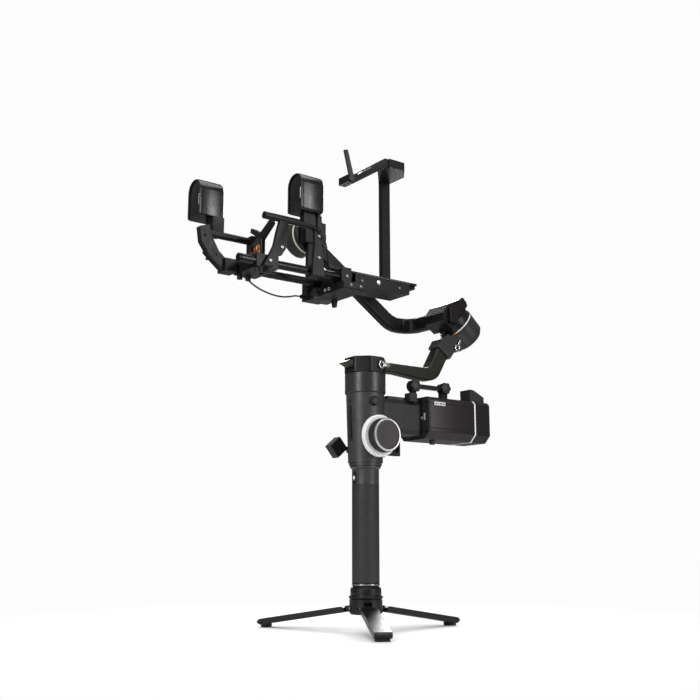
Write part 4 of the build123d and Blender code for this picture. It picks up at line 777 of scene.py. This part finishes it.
def cable(name, route, node):
    """Smooth round cable on its route's points."""
    line = bpy.data.curves.new(name + "_line", "CURVE")
    line.dimensions = "3D"
    spline = line.splines.new("NURBS")
    spline.points.add(len(route) - 1)
    for point, spot in zip(spline.points, route):
        point.co = (*spot, 1.0)
    spline.order_u = 3
    spline.use_endpoint_u = True
    spline.resolution_u = 12
    guide = bpy.data.objects.new(name + "_line", line)
    bpy.context.scene.collection.objects.link(guide)
    bpy.context.view_layer.update()
    path = [tuple(v.co) for v in bpy.data.meshes.new_from_object(guide).vertices]
    line.bevel_depth = CABLE_D / 2
    line.bevel_resolution = 5
    line.use_fill_caps = True
    bpy.context.view_layer.update()
    mesh = bpy.data.meshes.new_from_object(guide.evaluated_get(bpy.context.evaluated_depsgraph_get()))
    mesh.name = name
    bpy.data.objects.remove(guide)
    shape = bmesh.new()
    shape.from_mesh(mesh)
    bmesh.ops.remove_doubles(shape, verts=shape.verts, dist=1e-6)
    bmesh.ops.recalc_face_normals(shape, faces=shape.faces)
    shape.to_mesh(mesh)
    shape.free()
    mesh.shade_smooth()
    mesh.set_sharp_from_angle(angle=radians(50))
    mesh.materials.clear()
    mesh.materials.append(cable_pvc)
    piece = bpy.data.objects.new(name, mesh)
    bpy.context.scene.collection.objects.link(piece)
    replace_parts(piece, node)
    return piece


front_cable = cable("motor_cable_front", FRONT_ROUTE, "cable_front")
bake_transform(front_cable)
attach(cable("motor_cable_rear", REAR_ROUTE, "cable_rear"), "camera_plate")

# ============================================================ floor, lights and camera
WHITE_WALL = 0.98
ROOM_LIGHT = 0.20


def studio():
    """Pale round floor that fades into a white room, with soft panels left, right, above and behind."""
    made, tree, shader, place = blank("pale_studio_floor", Roughness=0.9)
    shader.inputs["Base Color"].default_value = srgb("#F6F6F6")
    far = add(tree, "ShaderNodeVectorMath", {0: place}, operation="LENGTH").outputs["Value"]
    fade = add(tree, "ShaderNodeMapRange", {"Value": far, "From Min": 0.25, "From Max": 0.95},
               interpolation_type="SMOOTHSTEP")
    clear = add(tree, "ShaderNodeBsdfTransparent")
    both = add(tree, "ShaderNodeMixShader",
               {0: fade.outputs["Result"], 1: shader.outputs[0], 2: clear.outputs[0]})
    tree.links.new(both.outputs[0], tree.nodes["Material Output"].inputs["Surface"])
    ring = [(1.0 * cos(a), 1.0 * sin(a), 0.0) for a in np.arange(96) * 2 * pi / 96]
    mesh = bpy.data.meshes.new("studio_floor")
    mesh.from_pydata(ring, [], [list(range(96))])
    mesh.materials.append(made)
    floor = bpy.data.objects.new("studio_floor", mesh)
    bpy.context.scene.collection.objects.link(floor)

    world = bpy.data.worlds.new("white_room")
    bpy.context.scene.world = world
    world.use_nodes = True
    tree = world.node_tree
    seen = add(tree, "ShaderNodeLightPath").outputs["Is Camera Ray"]
    level = add(tree, "ShaderNodeMapRange", {"Value": seen, "To Min": ROOM_LIGHT, "To Max": WHITE_WALL})
    tree.links.new(level.outputs["Result"], tree.nodes["Background"].inputs["Strength"])
    tree.nodes["Background"].inputs["Color"].default_value = (1.0, 1.0, 1.0, 1.0)

    panels = (("key_left", (-1.9, -0.5, 1.0), (0.5, 1.6), 26),
              ("strip_right", (0.7, -1.9, 0.8), (0.4, 1.6), 20),
              ("top_soft", (-0.1, -0.2, 2.2), (1.6, 1.6), 24), ("rear_soft", (1.2, 1.6, 1.2), (1.0, 1.4), 45))
    for name, spot, size, power in panels:
        lamp = bpy.data.lights.new(name, "AREA")
        lamp.shape = "RECTANGLE"
        lamp.size, lamp.size_y = size
        lamp.energy = power
        panel = bpy.data.objects.new(name, lamp)
        panel.location = spot
        panel.rotation_euler = (Vector((0.0, 0.0, 0.45)) - Vector(spot)).to_track_quat("-Z", "Y").to_euler()
        bpy.context.scene.collection.objects.link(panel)


studio()

view = bpy.data.cameras.new("front_left_low")
view.lens = 50.0
view.clip_start = 0.05
view.clip_end = 30.0
eye = bpy.data.objects.new("front_left_low", view)
azimuth, pitch = radians(36.5), radians(11.3)
eye.location = (-1.0845, -1.4181, 0.150)
eye.rotation_euler = Vector((sin(azimuth) * cos(pitch), cos(azimuth) * cos(pitch), sin(pitch))).to_track_quat(
    "-Z", "Y").to_euler()
bpy.context.scene.collection.objects.link(eye)
bpy.context.scene.camera = eye
bpy.context.scene.view_settings.view_transform = "Standard"
